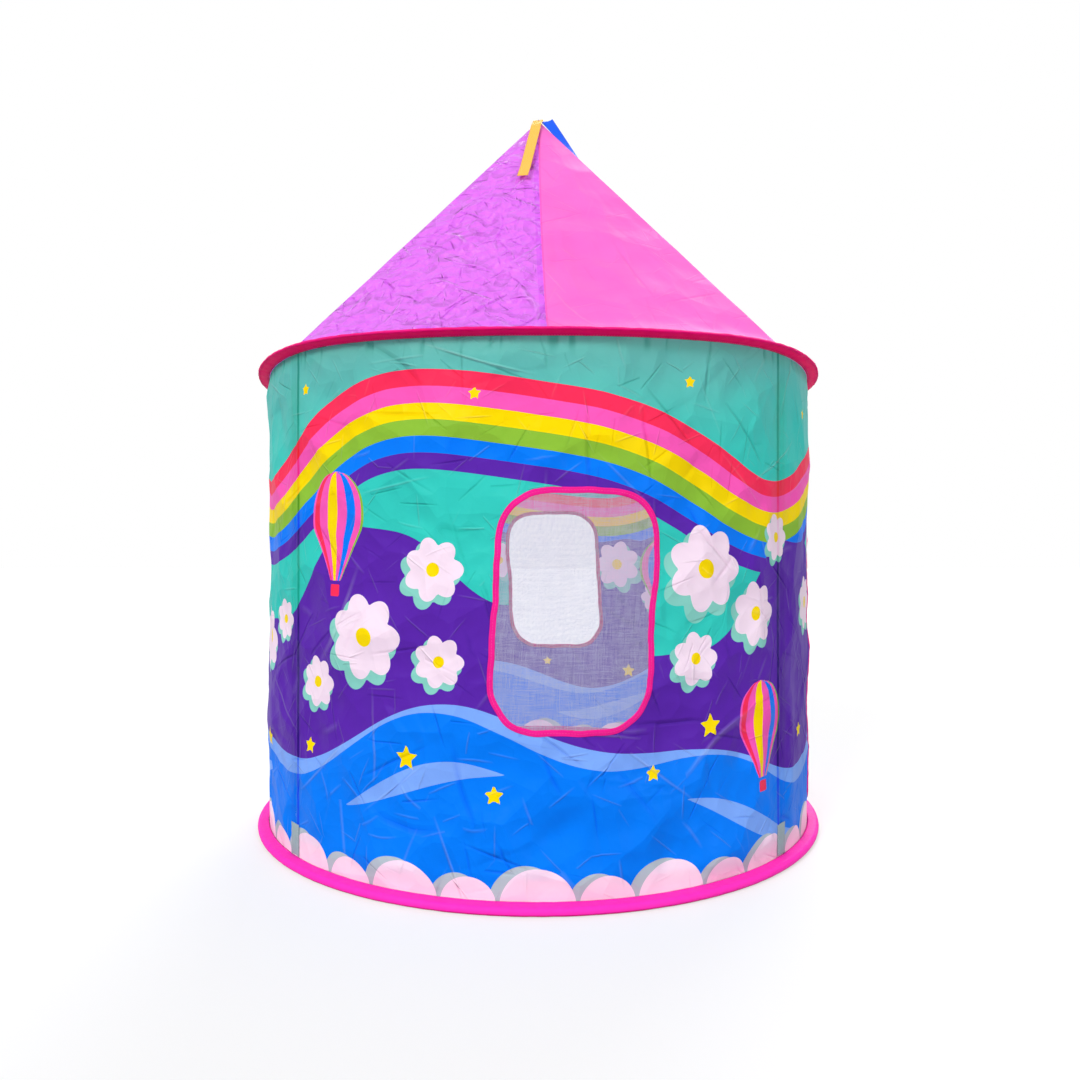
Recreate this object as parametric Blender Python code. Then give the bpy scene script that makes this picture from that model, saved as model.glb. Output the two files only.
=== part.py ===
"""Kids play tent: a round tent of thin cloth on two wire hoops, four wall poles and four roof ribs.

Metres, +Z up. The origin is the middle of the tent on the floor. The front, with a net window, faces -Y,
and the doorway is on the +X side. Angles are in degrees round the tent from the front, positive towards +X.
"""

import math

import bmesh
import bpy
from mathutils import Matrix, Vector

# Overall sizes
WALL_RADIUS = 0.505
WALL_TOP = 0.800
PEAK_HEIGHT = 1.340
CLOTH = 0.001
GAP = 0.0003
SEAM_GAP = 0.0003
MOVING_GAP = 0.0009

# Angles round the tent, and how finely round shapes are faceted
FRONT_POLE_DEG = 50.0
DOOR_DEG = 93.0
WINDOW_FRONT_DEG = 6.0
WINDOW_BACK_DEG = 175.5
FACET_DEG = 5.0
ROOF_FACET_DEG = 10.0
TURN_DEG = 360.0
SHARP_EDGE_DEG = 30.0

# Hoops of spring wire in their cloth bindings
BINDING_CLOTH = 0.0008
WIRE_RADIUS = 0.0015
WIRE_SIDES = 8
CRIMP_BORE_RADIUS = WIRE_RADIUS + GAP
CRIMP_RADIUS = 0.0021
CRIMP_LENGTH = 0.030
CRIMP_FACET = 35
CHANNEL_RADIUS = CRIMP_RADIUS + GAP
HOOP_OUT = 0.0168
EAVE_RISE = 0.0065
BASE_SEAM_HEIGHT = 0.0160
SKIRT_HEIGHT = 0.045
SEAM_HALF = 0.0030
BEND_POINTS = 5
BASE_BEND_FROM_DEG = -90.0
BASE_BEND_TO_DEG = 70.0

# Wall poles and roof ribs
ROD_RADIUS = 0.004
ROD_SIDES = 10
FERRULE_WALL = 0.0017
FERRULE_RADIUS = ROD_RADIUS + GAP + FERRULE_WALL
FERRULE_LENGTH = 0.060
POLE_INSET = 0.0085
FOLD_DROP = 0.003
BASE_PIVOT_HEIGHT = 0.016
EAVE_PIVOT_DROP = 0.015
RIB_CLEARANCE = 0.0028
RIB_START = 0.018
RIB_END_RADIUS = 0.0105
HUB_RADIUS = 0.020
HUB_FLOOR_DROP = 0.052
HUB_CLEARANCE = 0.0032
NUB_RADIUS = 0.0075
NUB_DROP = 0.0070
HUB_SIDES = 24

# Sleeves and pockets that hold the poles
SLEEVE_HALF_WIDTH = 0.020
SLEEVE_CLOTH = 0.0008
SLEEVE_CLEARANCE = 0.0006
SLEEVE_TOP_DROP = 0.030
SLEEVE_FOOT = 0.082
POCKET_HALF_WIDTH = 0.012
POCKET_HEIGHT = 0.058
POCKET_WALL = 0.0020
POCKET_EDGE = 0.0015
POCKET_OVERRUN = 0.020
ARC_POINTS = 7

# Windows
WINDOW_WIDTH = 0.235
WINDOW_HEIGHT = 0.345
WINDOW_MIDDLE = 0.417
WINDOW_CORNER = 0.072
TRIM_WIDTH = 0.010
TRIM_PROUD = 0.0003
NET_THICKNESS = 0.0008
NET_COLUMNS = 8
NET_ROWS = 12
NET_STRAND = 0.0030
CORNER_POINTS = 6
CUT_REACH = 0.060

# Doorway and its two curtains
DOOR_WIDTH = 0.400
DOOR_SILL = 0.055
DOOR_TOP = 0.570
DOOR_CORNER = 0.030
CURTAIN_LAP = 0.008
CURTAIN_MIDDLE_GAP = 0.002
CURTAIN_LIFT = 0.004
CURTAIN_OPEN_DEG = 13.0
TIE_WIDTH = 0.012
TIE_HEIGHT_FROM_SILL = 0.200

# Roof cloth
ROOF_HOLE_RADIUS = 0.010
ROOF_ROWS = 12
ROW_CROWDING = 1.7
SIDE_SAG_SHARE = 0.80
FRONT_SAG_SHARE = 0.50
SAG_TOP_SHARE = 0.15
SAG_POWER = 30
RIM_LAP = 0.0015
NORMAL_STEP_DEG = 0.5
NORMAL_STEP_SHARE = 0.001

# Ribbons on the roof's tip
RIBBON_WIDTH = 0.020
ORANGE_RIBBON_LENGTH = 0.208
BLUE_RIBBON_LENGTH = 0.125
RIBBON_TOP_RADIUS = 0.022
RIBBON_LIFT = 0.0009
RIBBON_COLUMNS = 4
RIBBON_ROWS = 8
ORANGE_RIBBON_DEG = -11.0
BLUE_RIBBON_DEG = 74.0

# Sizes that follow from those above
WALL_INSIDE = WALL_RADIUS - CLOTH
HALF_FACET = math.radians(FACET_DEG / 2)
HOOP_RADIUS = WALL_RADIUS + HOOP_OUT
BINDING_RADIUS = CHANNEL_RADIUS + BINDING_CLOTH
SEAM_RADIUS = WALL_RADIUS + MOVING_GAP
POLE_RADIUS = WALL_INSIDE - POLE_INSET
PIVOT_RADIUS = POLE_RADIUS + FERRULE_RADIUS
EAVE_PIVOT_HEIGHT = WALL_TOP - EAVE_PIVOT_DROP
KNEE_HEIGHT = (BASE_PIVOT_HEIGHT + EAVE_PIVOT_HEIGHT) / 2
RIM_RADIUS = WALL_INSIDE - MOVING_GAP
RIM_HEIGHT = WALL_TOP - RIM_LAP
ROOF_DROP = PEAK_HEIGHT - RIM_HEIGHT
ROOF_SLOPE = math.atan2(ROOF_DROP, RIM_RADIUS)
SKIRT_OUTSIDE = WALL_INSIDE * math.cos(HALF_FACET) - GAP
SKIRT_INSIDE = SKIRT_OUTSIDE - CLOTH
POLES = {
    "front_right": FRONT_POLE_DEG,
    "back_right": 180 - FRONT_POLE_DEG,
    "back_left": FRONT_POLE_DEG - 180,
    "front_left": -FRONT_POLE_DEG,
}

bodies = []


def material(name, colour, roughness, metallic=0.0):
    """A plain material with the piece's colour."""
    made = bpy.data.materials.new(name)
    made.use_nodes = True
    shader = made.node_tree.nodes["Principled BSDF"]
    shader.inputs["Base Color"].default_value = (*colour, 1.0)
    shader.inputs["Roughness"].default_value = roughness
    shader.inputs["Metallic"].default_value = metallic
    return made


def make(name, verts, faces, colour, roughness=0.8, metallic=0.0):
    """A named object from points and faces, with its faces turned outwards."""
    mesh = bpy.data.meshes.new(name)
    mesh.from_pydata([tuple(v) for v in verts], [], faces)
    shape = bmesh.new()
    shape.from_mesh(mesh)
    bmesh.ops.recalc_face_normals(shape, faces=shape.faces)
    shape.to_mesh(mesh)
    shape.free()
    obj = bpy.data.objects.new(name, mesh)
    obj.data.materials.append(material(name, colour, roughness, metallic))
    bpy.context.collection.objects.link(obj)
    bodies.append(obj)
    return obj


def around(radius, deg, height):
    """The point at a radius and height, at an angle round the tent from the front."""
    turn = math.radians(deg)
    return Vector((radius * math.sin(turn), -radius * math.cos(turn), height))


def outwards(deg):
    """The unit vector that points out of the tent at an angle."""
    return around(1.0, deg, 0.0)


def sideways(deg):
    """The unit vector along the wall at an angle, towards larger angles."""
    return around(1.0, deg + 90, 0.0)


def grid_faces(rows, columns, first, wrap=False):
    """Quads of a grid of points that start at index first."""
    faces = []
    for row in range(rows - 1):
        for column in range(columns if wrap else columns - 1):
            after = (column + 1) % columns
            low = first + row * columns
            faces.append((low + column, low + after, low + columns + after, low + columns + column))
    return faces


def sheet(name, outer, inner, colour, roughness=0.8):
    """A closed sheet between two grids of points, each a list of rows."""
    rows, columns = len(outer), len(outer[0])
    verts = [p for row in outer for p in row] + [p for row in inner for p in row]
    back = rows * columns
    faces = grid_faces(rows, columns, 0) + grid_faces(rows, columns, back)
    rim = [(0, c) for c in range(columns)]
    rim += [(r, columns - 1) for r in range(1, rows)]
    rim += [(rows - 1, c) for c in range(columns - 2, -1, -1)]
    rim += [(r, 0) for r in range(rows - 2, 0, -1)]
    edge = [r * columns + c for r, c in rim]
    for a, b in zip(edge, edge[1:] + edge[:1]):
        faces.append((a, b, back + b, back + a))
    return make(name, verts, faces, colour, roughness)


def turned_ring(name, profile, colour, roughness=0.8, metallic=0.0):
    """A closed ring round the tent's axis from a closed profile of (radius, height) points."""
    steps = round(TURN_DEG / FACET_DEG)
    verts = [around(r, k * FACET_DEG, z) for k in range(steps) for r, z in profile]
    columns = len(profile)
    faces = []
    for k in range(steps):
        here, there = k * columns, (k + 1) % steps * columns
        for c in range(columns):
            d = (c + 1) % columns
            faces.append((here + c, here + d, there + d, there + c))
    return make(name, verts, faces, colour, roughness, metallic)


def prism(name, outline, lift, colour, roughness=0.8):
    """A solid from a flat outline of points and the vector that it is extruded by."""
    count = len(outline)
    verts = list(outline) + [p + lift for p in outline]
    faces = [tuple(range(count)), tuple(range(count, 2 * count))]
    for a in range(count):
        b = (a + 1) % count
        faces.append((a, b, count + b, count + a))
    return make(name, verts, faces, colour, roughness)


def circle_frame(start, end):
    """Two unit vectors square to the line from start to end, the first as level as can be."""
    along = (end - start).normalized()
    if along.x or along.y:
        level = Vector((0, 0, 1)).cross(along).normalized()
    else:
        level = Vector((1, 0, 0))
    return level, along.cross(level)


def round_bar(name, start, end, radius, colour, bore=None, roughness=0.4, metallic=0.0):
    """A straight round bar between two points, or a tube where a bore radius is given."""
    level, other = circle_frame(start, end)
    turns = [2 * math.pi * k / ROD_SIDES for k in range(ROD_SIDES)]
    across = [level * math.cos(t) + other * math.sin(t) for t in turns]
    loops = [[start + d * radius for d in across], [end + d * radius for d in across]]
    if bore is None:
        faces = grid_faces(2, ROD_SIDES, 0, wrap=True)
        faces += [tuple(range(ROD_SIDES)), tuple(range(ROD_SIDES, 2 * ROD_SIDES))]
    else:
        loops += [[end + d * bore for d in across], [start + d * bore for d in across]]
        faces = grid_faces(4, ROD_SIDES, 0, wrap=True)
        last = 3 * ROD_SIDES
        for k in range(ROD_SIDES):
            after = (k + 1) % ROD_SIDES
            faces.append((last + k, last + after, after, k))
    return make(name, [p for loop in loops for p in loop], faces, colour, roughness, metallic)


def cutter(name, verts, faces):
    """A hidden solid that only cuts others."""
    obj = make(name, verts, faces, (1, 1, 1))
    bodies.remove(obj)
    obj.hide_render = True
    obj.display_type = "WIRE"
    return obj


def bar_cutter(name, start, end, radius):
    """A hidden round bar that only cuts others."""
    obj = round_bar(name, start, end, radius, (1, 1, 1))
    bodies.remove(obj)
    obj.hide_render = True
    obj.display_type = "WIRE"
    return obj


def cut(obj, tool, operation="DIFFERENCE"):
    """Cuts an object with a cutter."""
    modifier = obj.modifiers.new(operation.lower(), "BOOLEAN")
    modifier.operation = operation
    modifier.object = tool
    modifier.solver = "EXACT"
    return modifier


def applied(obj):
    """The object's mesh with its modifiers applied."""
    graph = bpy.context.evaluated_depsgraph_get()
    mesh = bpy.data.meshes.new_from_object(obj.evaluated_get(graph))
    obj.modifiers.clear()
    obj.data = mesh
    return mesh


def pivot(name, point, axis):
    """An empty on a hinge's axis."""
    empty = bpy.data.objects.new(name, None)
    empty.matrix_world = Matrix.Translation(point) @ axis.to_track_quat("Z", "Y").to_matrix().to_4x4()
    bpy.context.collection.objects.link(empty)
    return empty


def attach(objects, parent):
    """Parents objects to a pivot where they are."""
    bpy.context.view_layer.update()
    for obj in objects:
        obj.parent = parent
        obj.matrix_parent_inverse = parent.matrix_world.inverted()


# Openings: outlines in the wall's own (along, height) coordinates


def corner_arc(middle, radius, first_deg):
    """Points of a quarter circle, anticlockwise."""
    turns = [math.radians(first_deg + 90 * k / CORNER_POINTS) for k in range(CORNER_POINTS + 1)]
    return [(middle[0] + radius * math.cos(t), middle[1] + radius * math.sin(t)) for t in turns]


def opening_outline(width, low, high, top_corner, low_corner, inset=0.0):
    """A rectangle with round corners, drawn in by inset all round."""
    half = width / 2 - inset
    low, high = low + inset, high - inset
    top_corner, low_corner = top_corner - inset, low_corner - inset
    points = corner_arc((half - top_corner, high - top_corner), top_corner, 0)
    if half - top_corner > CLOTH:
        points.append((0.0, high))
    else:
        points.pop()
    points += corner_arc((top_corner - half, high - top_corner), top_corner, 90)
    points += corner_arc((low_corner - half, low + low_corner), low_corner, 180)
    floor = half - low_corner
    points += [(-floor / 2, low), (0.0, low), (floor / 2, low)]
    points += corner_arc((half - low_corner, low + low_corner), low_corner, 270)
    return points


def window_outline(inset=0.0):
    """The outline of a window."""
    low = WINDOW_MIDDLE - WINDOW_HEIGHT / 2
    high = WINDOW_MIDDLE + WINDOW_HEIGHT / 2
    return opening_outline(WINDOW_WIDTH, low, high, WINDOW_CORNER, WINDOW_CORNER, inset)


def door_outline(inset=0.0):
    """The outline of the doorway, with a half-round top."""
    return opening_outline(DOOR_WIDTH, DOOR_SILL, DOOR_TOP, DOOR_WIDTH / 2, DOOR_CORNER, inset)


def on_wall(point, deg, radius):
    """A point of an outline, bent round the wall at an angle."""
    return around(radius, deg + math.degrees(point[0] / WALL_RADIUS), point[1])


def opening_cutter(name, outline, deg):
    """The cutter for an opening, with its sides square to the wall."""
    radii = (WALL_RADIUS - CUT_REACH, WALL_INSIDE - CLOTH, WALL_RADIUS + CLOTH, WALL_RADIUS + CUT_REACH)
    verts = [on_wall(p, deg, radius) for radius in radii for p in outline]
    count = len(outline)
    last = (len(radii) - 1) * count
    faces = grid_faces(len(radii), count, 0, wrap=True)
    faces += [tuple(range(count)), tuple(range(last, last + count))]
    return cutter(name, verts, faces)


def opening_trim(name, outline, deg, colour):
    """The binding round an opening: a flat band inside its edge. outline takes an inset."""
    loops = []
    for inset, radius in (
        (GAP, WALL_RADIUS + TRIM_PROUD),
        (TRIM_WIDTH, WALL_RADIUS + TRIM_PROUD),
        (TRIM_WIDTH, WALL_INSIDE - TRIM_PROUD),
        (GAP, WALL_INSIDE - TRIM_PROUD),
    ):
        loops.append([on_wall(p, deg, radius) for p in outline(inset)])
    count = len(loops[0])
    faces = grid_faces(4, count, 0, wrap=True)
    last = 3 * count
    for k in range(count):
        after = (k + 1) % count
        faces.append((last + k, last + after, after, k))
    return make(name, [p for loop in loops for p in loop], faces, colour)


# Walls


def wall_panel(name, first_deg, last_deg, colour):
    """One wall panel between two pole seams."""
    trim_deg = math.degrees(SEAM_GAP / 2 / WALL_RADIUS)
    inner_steps = round((last_deg - first_deg) / FACET_DEG)
    angles = [first_deg + k * FACET_DEG for k in range(1, inner_steps)]
    angles = [first_deg + trim_deg] + angles + [last_deg - trim_deg]
    low = CLOTH + GAP
    outer = [[around(WALL_RADIUS, a, z) for a in angles] for z in (low, WALL_TOP)]
    inner = [[around(WALL_INSIDE, a, z) for a in angles] for z in (low, WALL_TOP)]
    return sheet(name, outer, inner, colour)


def net(name, deg):
    """A window's net: a sheet with square gaps, cut to the binding's inside and bent round the wall."""
    outline = window_outline(TRIM_WIDTH + GAP)
    width = WINDOW_WIDTH - 2 * TRIM_WIDTH
    height = WINDOW_HEIGHT - 2 * TRIM_WIDTH

    def lines(low, span, gaps):
        pitch = (span - NET_STRAND) / gaps
        edges = []
        for k in range(gaps + 1):
            edges += [low + k * pitch, low + k * pitch + NET_STRAND]
        return edges

    across = lines(-width / 2, width, NET_COLUMNS)
    up = lines(WINDOW_MIDDLE - height / 2, height, NET_ROWS)
    columns, rows = len(across), len(up)
    verts = [(x, y, z) for y in (0.0, NET_THICKNESS) for z in up for x in across]
    back = columns * rows

    def solid(c, r):
        inside = 0 <= c < columns - 1 and 0 <= r < rows - 1
        return inside and (c % 2 == 0 or r % 2 == 0)

    faces = []
    for r in range(rows - 1):
        for c in range(columns - 1):
            if not solid(c, r):
                continue
            a, b = r * columns + c, r * columns + c + 1
            d, e = a + columns, b + columns
            faces += [(a, b, e, d), (back + a, back + d, back + e, back + b)]
            sides = (((a, b), (c, r - 1)), ((b, e), (c + 1, r)), ((e, d), (c, r + 1)), ((d, a), (c - 1, r)))
            for (p, q), beside in sides:
                if not solid(*beside):
                    faces.append((q, p, back + p, back + q))
    obj = make(name, verts, faces, (0.85, 0.86, 0.90))
    flat = [Vector((x, -CUT_REACH, z)) for x, z in outline] + [Vector((x, CUT_REACH, z)) for x, z in outline]
    count = len(outline)
    sides = [(a, (a + 1) % count, count + (a + 1) % count, count + a) for a in range(count)]
    tool = cutter(name + "_cutter", flat, [tuple(range(count)), tuple(range(count, 2 * count))] + sides)
    cut(obj, tool, "INTERSECT")
    mesh = applied(obj)
    middle = WALL_RADIUS - (CLOTH + NET_THICKNESS) / 2
    for v in mesh.vertices:
        v.co = on_wall((v.co.x, v.co.z), deg, middle + v.co.y)
    shape = bmesh.new()
    shape.from_mesh(mesh)
    bmesh.ops.recalc_face_normals(shape, faces=shape.faces)
    shape.to_mesh(mesh)
    shape.free()
    return obj


def walls():
    """The four wall panels with their windows and doorway, the nets and the bindings."""
    teal = (0.10, 0.62, 0.48)
    violet = (0.10, 0.03, 0.40)
    pink = (1.0, 0.05, 0.40)
    last = FRONT_POLE_DEG
    front = wall_panel("wall_front", -last, last, teal)
    right = wall_panel("wall_right", last, 180 - last, violet)
    back = wall_panel("wall_back", 180 - last, 180 + last, teal)
    wall_panel("wall_left", 180 + last, TURN_DEG - last, violet)
    cut(front, opening_cutter("window_front_cutter", window_outline(), WINDOW_FRONT_DEG))
    cut(back, opening_cutter("window_back_cutter", window_outline(), WINDOW_BACK_DEG))
    cut(right, opening_cutter("door_cutter", door_outline(), DOOR_DEG))
    opening_trim("window_binding_front", window_outline, WINDOW_FRONT_DEG, pink)
    opening_trim("window_binding_back", window_outline, WINDOW_BACK_DEG, pink)
    opening_trim("door_binding", door_outline, DOOR_DEG, pink)
    net("window_net_front", WINDOW_FRONT_DEG)
    net("window_net_back", WINDOW_BACK_DEG)


# Hoops and their bindings


def channel_points(middle, radius, first_deg, last_deg):
    """Points of an arc round a hoop's wire, in (radius, height)."""
    step_deg = (last_deg - first_deg) / (BEND_POINTS - 1)
    turns = [math.radians(first_deg + k * step_deg) for k in range(BEND_POINTS)]
    return [(middle[0] + radius * math.cos(t), middle[1] + radius * math.sin(t)) for t in turns]


def hoop(name, height):
    """A ring of spring wire and its crimp sleeve, which sits in the middle of one facet."""
    turns = [2 * math.pi * k / WIRE_SIDES for k in range(WIRE_SIDES)]
    profile = [(HOOP_RADIUS + WIRE_RADIUS * math.cos(t), height + WIRE_RADIUS * math.sin(t)) for t in turns]
    steel = (0.55, 0.56, 0.58)
    wire = turned_ring(name, profile, steel, 0.35, 1.0)
    deg = (CRIMP_FACET + 0.5) * FACET_DEG
    middle = around(HOOP_RADIUS * math.cos(HALF_FACET), deg, height)
    half = sideways(deg) * CRIMP_LENGTH / 2
    sleeve = round_bar(
        name + "_crimp", middle - half, middle + half, CRIMP_RADIUS, steel, CRIMP_BORE_RADIUS, 0.3, 1.0
    )
    return wire, sleeve


def eave():
    """The eave binding: cloth folded round the upper hoop, its open edge at the wall."""
    wire_height = WALL_TOP + EAVE_RISE
    middle = (HOOP_RADIUS, wire_height)
    slant_deg = math.degrees(math.atan2(EAVE_RISE, HOOP_OUT))
    top, low = slant_deg + 90, slant_deg - 90
    outside = [(SEAM_RADIUS, WALL_TOP + SEAM_HALF)]
    outside += channel_points(middle, BINDING_RADIUS, top, low)
    outside += [(SEAM_RADIUS, WALL_TOP - SEAM_HALF)]
    inside = [(SEAM_RADIUS, WALL_TOP - SEAM_HALF + BINDING_CLOTH)]
    inside += channel_points(middle, CHANNEL_RADIUS, low, top)
    inside += [(SEAM_RADIUS, WALL_TOP + SEAM_HALF - BINDING_CLOTH)]
    binding = turned_ring("eave_binding", outside + inside, (0.75, 0.0, 0.22))
    return (binding, *hoop("eave_hoop", wire_height))


def base():
    """The base binding: cloth folded round the lower hoop, under the wall, with a skirt inside it."""
    wire_height = CLOTH + CHANNEL_RADIUS
    middle = (HOOP_RADIUS, wire_height)
    seam = WALL_RADIUS + GAP
    profile = [(SKIRT_INSIDE, SKIRT_HEIGHT), (SKIRT_INSIDE, 0.0)]
    profile += channel_points(middle, CHANNEL_RADIUS + CLOTH, BASE_BEND_FROM_DEG, BASE_BEND_TO_DEG)
    profile += [(seam, BASE_SEAM_HEIGHT), (seam, BASE_SEAM_HEIGHT - CLOTH)]
    profile += channel_points(middle, CHANNEL_RADIUS, BASE_BEND_TO_DEG, BASE_BEND_FROM_DEG)
    profile += [(SKIRT_OUTSIDE, CLOTH), (SKIRT_OUTSIDE, SKIRT_HEIGHT)]
    turned_ring("base_binding", profile, (1.0, 0.06, 0.45))
    hoop("base_hoop", wire_height)


# Poles, sleeves and pockets


def local_points(deg, outline, height):
    """Points given as (along the wall, radius) at an angle round the tent, set at a height."""
    return [sideways(deg) * u + outwards(deg) * v + Vector((0, 0, height)) for u, v in outline]


def half_circle(radius, reverse=False):
    """The inner half of a circle round a pole, as (along, radius) points."""
    turns = [math.pi * k / (ARC_POINTS - 1) for k in range(ARC_POINTS)]
    points = [(-radius * math.cos(t), POLE_RADIUS - radius * math.sin(t)) for t in turns]
    return points[::-1] if reverse else points


def facet_line(radius, along):
    """The radius of the wall's faceted side, some way along from a pole's seam."""
    return radius - abs(along) * math.tan(HALF_FACET)


def sleeve(side, deg):
    """The cloth sleeve over a pole: two flat edges sewn to the wall and a round middle."""
    clear = FERRULE_RADIUS + SLEEVE_CLEARANCE
    outer = clear + SLEEVE_CLOTH
    flange = WALL_INSIDE - GAP
    edge = SLEEVE_HALF_WIDTH
    wall_side = [(-edge, facet_line(flange, edge)), (-clear, facet_line(flange, clear))]
    wall_side += half_circle(clear)
    wall_side += [(clear, facet_line(flange, clear)), (edge, facet_line(flange, edge))]
    inner = flange - SLEEVE_CLOTH
    tent_side = [(edge, facet_line(inner, edge)), (outer, facet_line(inner, outer))]
    tent_side += half_circle(outer, reverse=True)
    tent_side += [(-outer, facet_line(inner, outer)), (-edge, facet_line(inner, edge))]
    height = WALL_TOP - SLEEVE_TOP_DROP - SLEEVE_FOOT
    points = local_points(deg, wall_side + tent_side, SLEEVE_FOOT)
    return prism("pole_sleeve_" + side, points, Vector((0, 0, height)), (0.16, 0.50, 0.45))


def pocket(side, deg):
    """The pocket that a pole's foot stands in."""
    back = SKIRT_INSIDE - GAP
    bump = ROD_RADIUS + GAP + POCKET_WALL
    wide = POCKET_HALF_WIDTH
    outline = [(wide, facet_line(back, wide)), (-wide, facet_line(back, wide))]
    outline += [(-wide, facet_line(back, wide) - POCKET_EDGE)]
    outline += half_circle(bump)
    outline += [(wide, facet_line(back, wide) - POCKET_EDGE)]
    foot = BASE_PIVOT_HEIGHT + FOLD_DROP
    low = foot - GAP - POCKET_EDGE
    points = local_points(deg, outline, low)
    obj = prism("pocket_bottom_" + side, points, Vector((0, 0, POCKET_HEIGHT)), (0.45, 0.5, 0.52))
    bore_foot = around(POLE_RADIUS, deg, foot - GAP)
    bore_top = around(POLE_RADIUS, deg, low + POCKET_HEIGHT + POCKET_OVERRUN)
    cut(obj, bar_cutter("pocket_bore_" + side, bore_foot, bore_top, ROD_RADIUS + GAP))


def pole(side, deg):
    """A wall pole: a lower rod with its ferrule, and an upper rod. Returns its base and knee pivots."""
    grey = (0.06, 0.06, 0.065)
    foot = BASE_PIVOT_HEIGHT + FOLD_DROP
    head = EAVE_PIVOT_HEIGHT - FOLD_DROP
    mouth = KNEE_HEIGHT - GAP / 2
    low_end, low_mouth = around(POLE_RADIUS, deg, foot), around(POLE_RADIUS, deg, mouth - GAP)
    lower = round_bar("pole_lower_" + side, low_end, low_mouth, ROD_RADIUS, grey)
    ferrule = round_bar(
        "pole_ferrule_" + side,
        around(POLE_RADIUS, deg, mouth - FERRULE_LENGTH),
        around(POLE_RADIUS, deg, mouth),
        FERRULE_RADIUS,
        (0.6, 0.6, 0.62),
        ROD_RADIUS + GAP,
        0.3,
        1.0,
    )
    upper = round_bar(
        "pole_upper_" + side,
        around(POLE_RADIUS, deg, mouth + GAP),
        around(POLE_RADIUS, deg, head),
        ROD_RADIUS,
        grey,
    )
    foot_pivot = pivot("pivot_base_" + side, around(PIVOT_RADIUS, deg, BASE_PIVOT_HEIGHT), sideways(deg))
    knee_pivot = pivot("pivot_knee_" + side, around(PIVOT_RADIUS, deg, KNEE_HEIGHT), sideways(deg))
    attach([lower, ferrule, knee_pivot], foot_pivot)
    attach([upper], knee_pivot)
    return knee_pivot


# Roof


def sag(deg, share_down):
    """How far the cloth draws in between ribs: 1 on a rib, less between, and 1 again at tip and rim."""
    folded = abs((deg + 180) % TURN_DEG - 180)
    if folded < FRONT_POLE_DEG:
        half, off, amount = FRONT_POLE_DEG, folded, FRONT_SAG_SHARE
    elif folded > 180 - FRONT_POLE_DEG:
        half, off, amount = FRONT_POLE_DEG, 180 - folded, FRONT_SAG_SHARE
    else:
        half, off, amount = 90 - FRONT_POLE_DEG, folded - 90, SIDE_SAG_SHARE
    chord = math.cos(math.radians(half)) / math.cos(math.radians(off))
    weight = amount * (1 - share_down**SAG_POWER) * min(1.0, share_down / SAG_TOP_SHARE)
    return 1 - weight * (1 - chord)


def roof_point(deg, share_down):
    """A point on the roof's outside: share_down is 0 at the tip and 1 at the rim."""
    return around(RIM_RADIUS * share_down * sag(deg, share_down), deg, PEAK_HEIGHT - ROOF_DROP * share_down)


def roof_normal(deg, share_down):
    """The roof's outward normal, from nearby points."""
    along = roof_point(deg + NORMAL_STEP_DEG, share_down) - roof_point(deg - NORMAL_STEP_DEG, share_down)
    down = roof_point(deg, share_down) - roof_point(deg, share_down - NORMAL_STEP_SHARE)
    return down.cross(along).normalized()


def roof_panel(name, first_deg, colour):
    """A quarter of the roof, from one seam to the next."""
    top_share = ROOF_HOLE_RADIUS / RIM_RADIUS
    columns = round(90 / ROOF_FACET_DEG)
    shares = [1 - (1 - top_share) * (1 - k / ROOF_ROWS) ** ROW_CROWDING for k in range(ROOF_ROWS + 1)]
    outer, inner = [], []
    for s in shares:
        trim_deg = math.degrees(SEAM_GAP / 2 / (RIM_RADIUS * s))
        angles = [first_deg + k * ROOF_FACET_DEG for k in range(columns + 1)]
        angles[0] += trim_deg
        angles[-1] -= trim_deg
        outer.append([roof_point(a, s) for a in angles])
        inner.append([roof_point(a, s) - roof_normal(a, s) * CLOTH for a in angles])
    return sheet(name, outer, inner, colour)


def rib_line(radius, deg):
    """A point on a rib's middle line, at a radius."""
    drop = FERRULE_RADIUS + RIB_CLEARANCE + CLOTH
    on_cloth = PEAK_HEIGHT - radius * math.tan(ROOF_SLOPE)
    return around(radius, deg, on_cloth - drop / math.cos(ROOF_SLOPE))


def rib(side, deg):
    """A roof rib: a lower rod, a ferrule and an upper rod whose end is in the hub."""
    grey = (0.06, 0.06, 0.065)
    foot = rib_line(RIM_RADIUS - RIB_START, deg)
    head = rib_line(RIB_END_RADIUS, deg)
    along = (head - foot).normalized()
    middle = (foot + head) / 2
    lower = round_bar("rib_lower_" + side, foot, middle - along * GAP / 2, ROD_RADIUS, grey)
    upper = round_bar("rib_upper_" + side, middle + along * GAP / 2, head, ROD_RADIUS, grey)
    half = along * FERRULE_LENGTH / 2
    silver = (0.6, 0.6, 0.62)
    ferrule = round_bar(
        "rib_ferrule_" + side, middle - half, middle + half, FERRULE_RADIUS, silver, ROD_RADIUS + GAP, 0.3, 1.0
    )
    return [lower, upper, ferrule]


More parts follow.
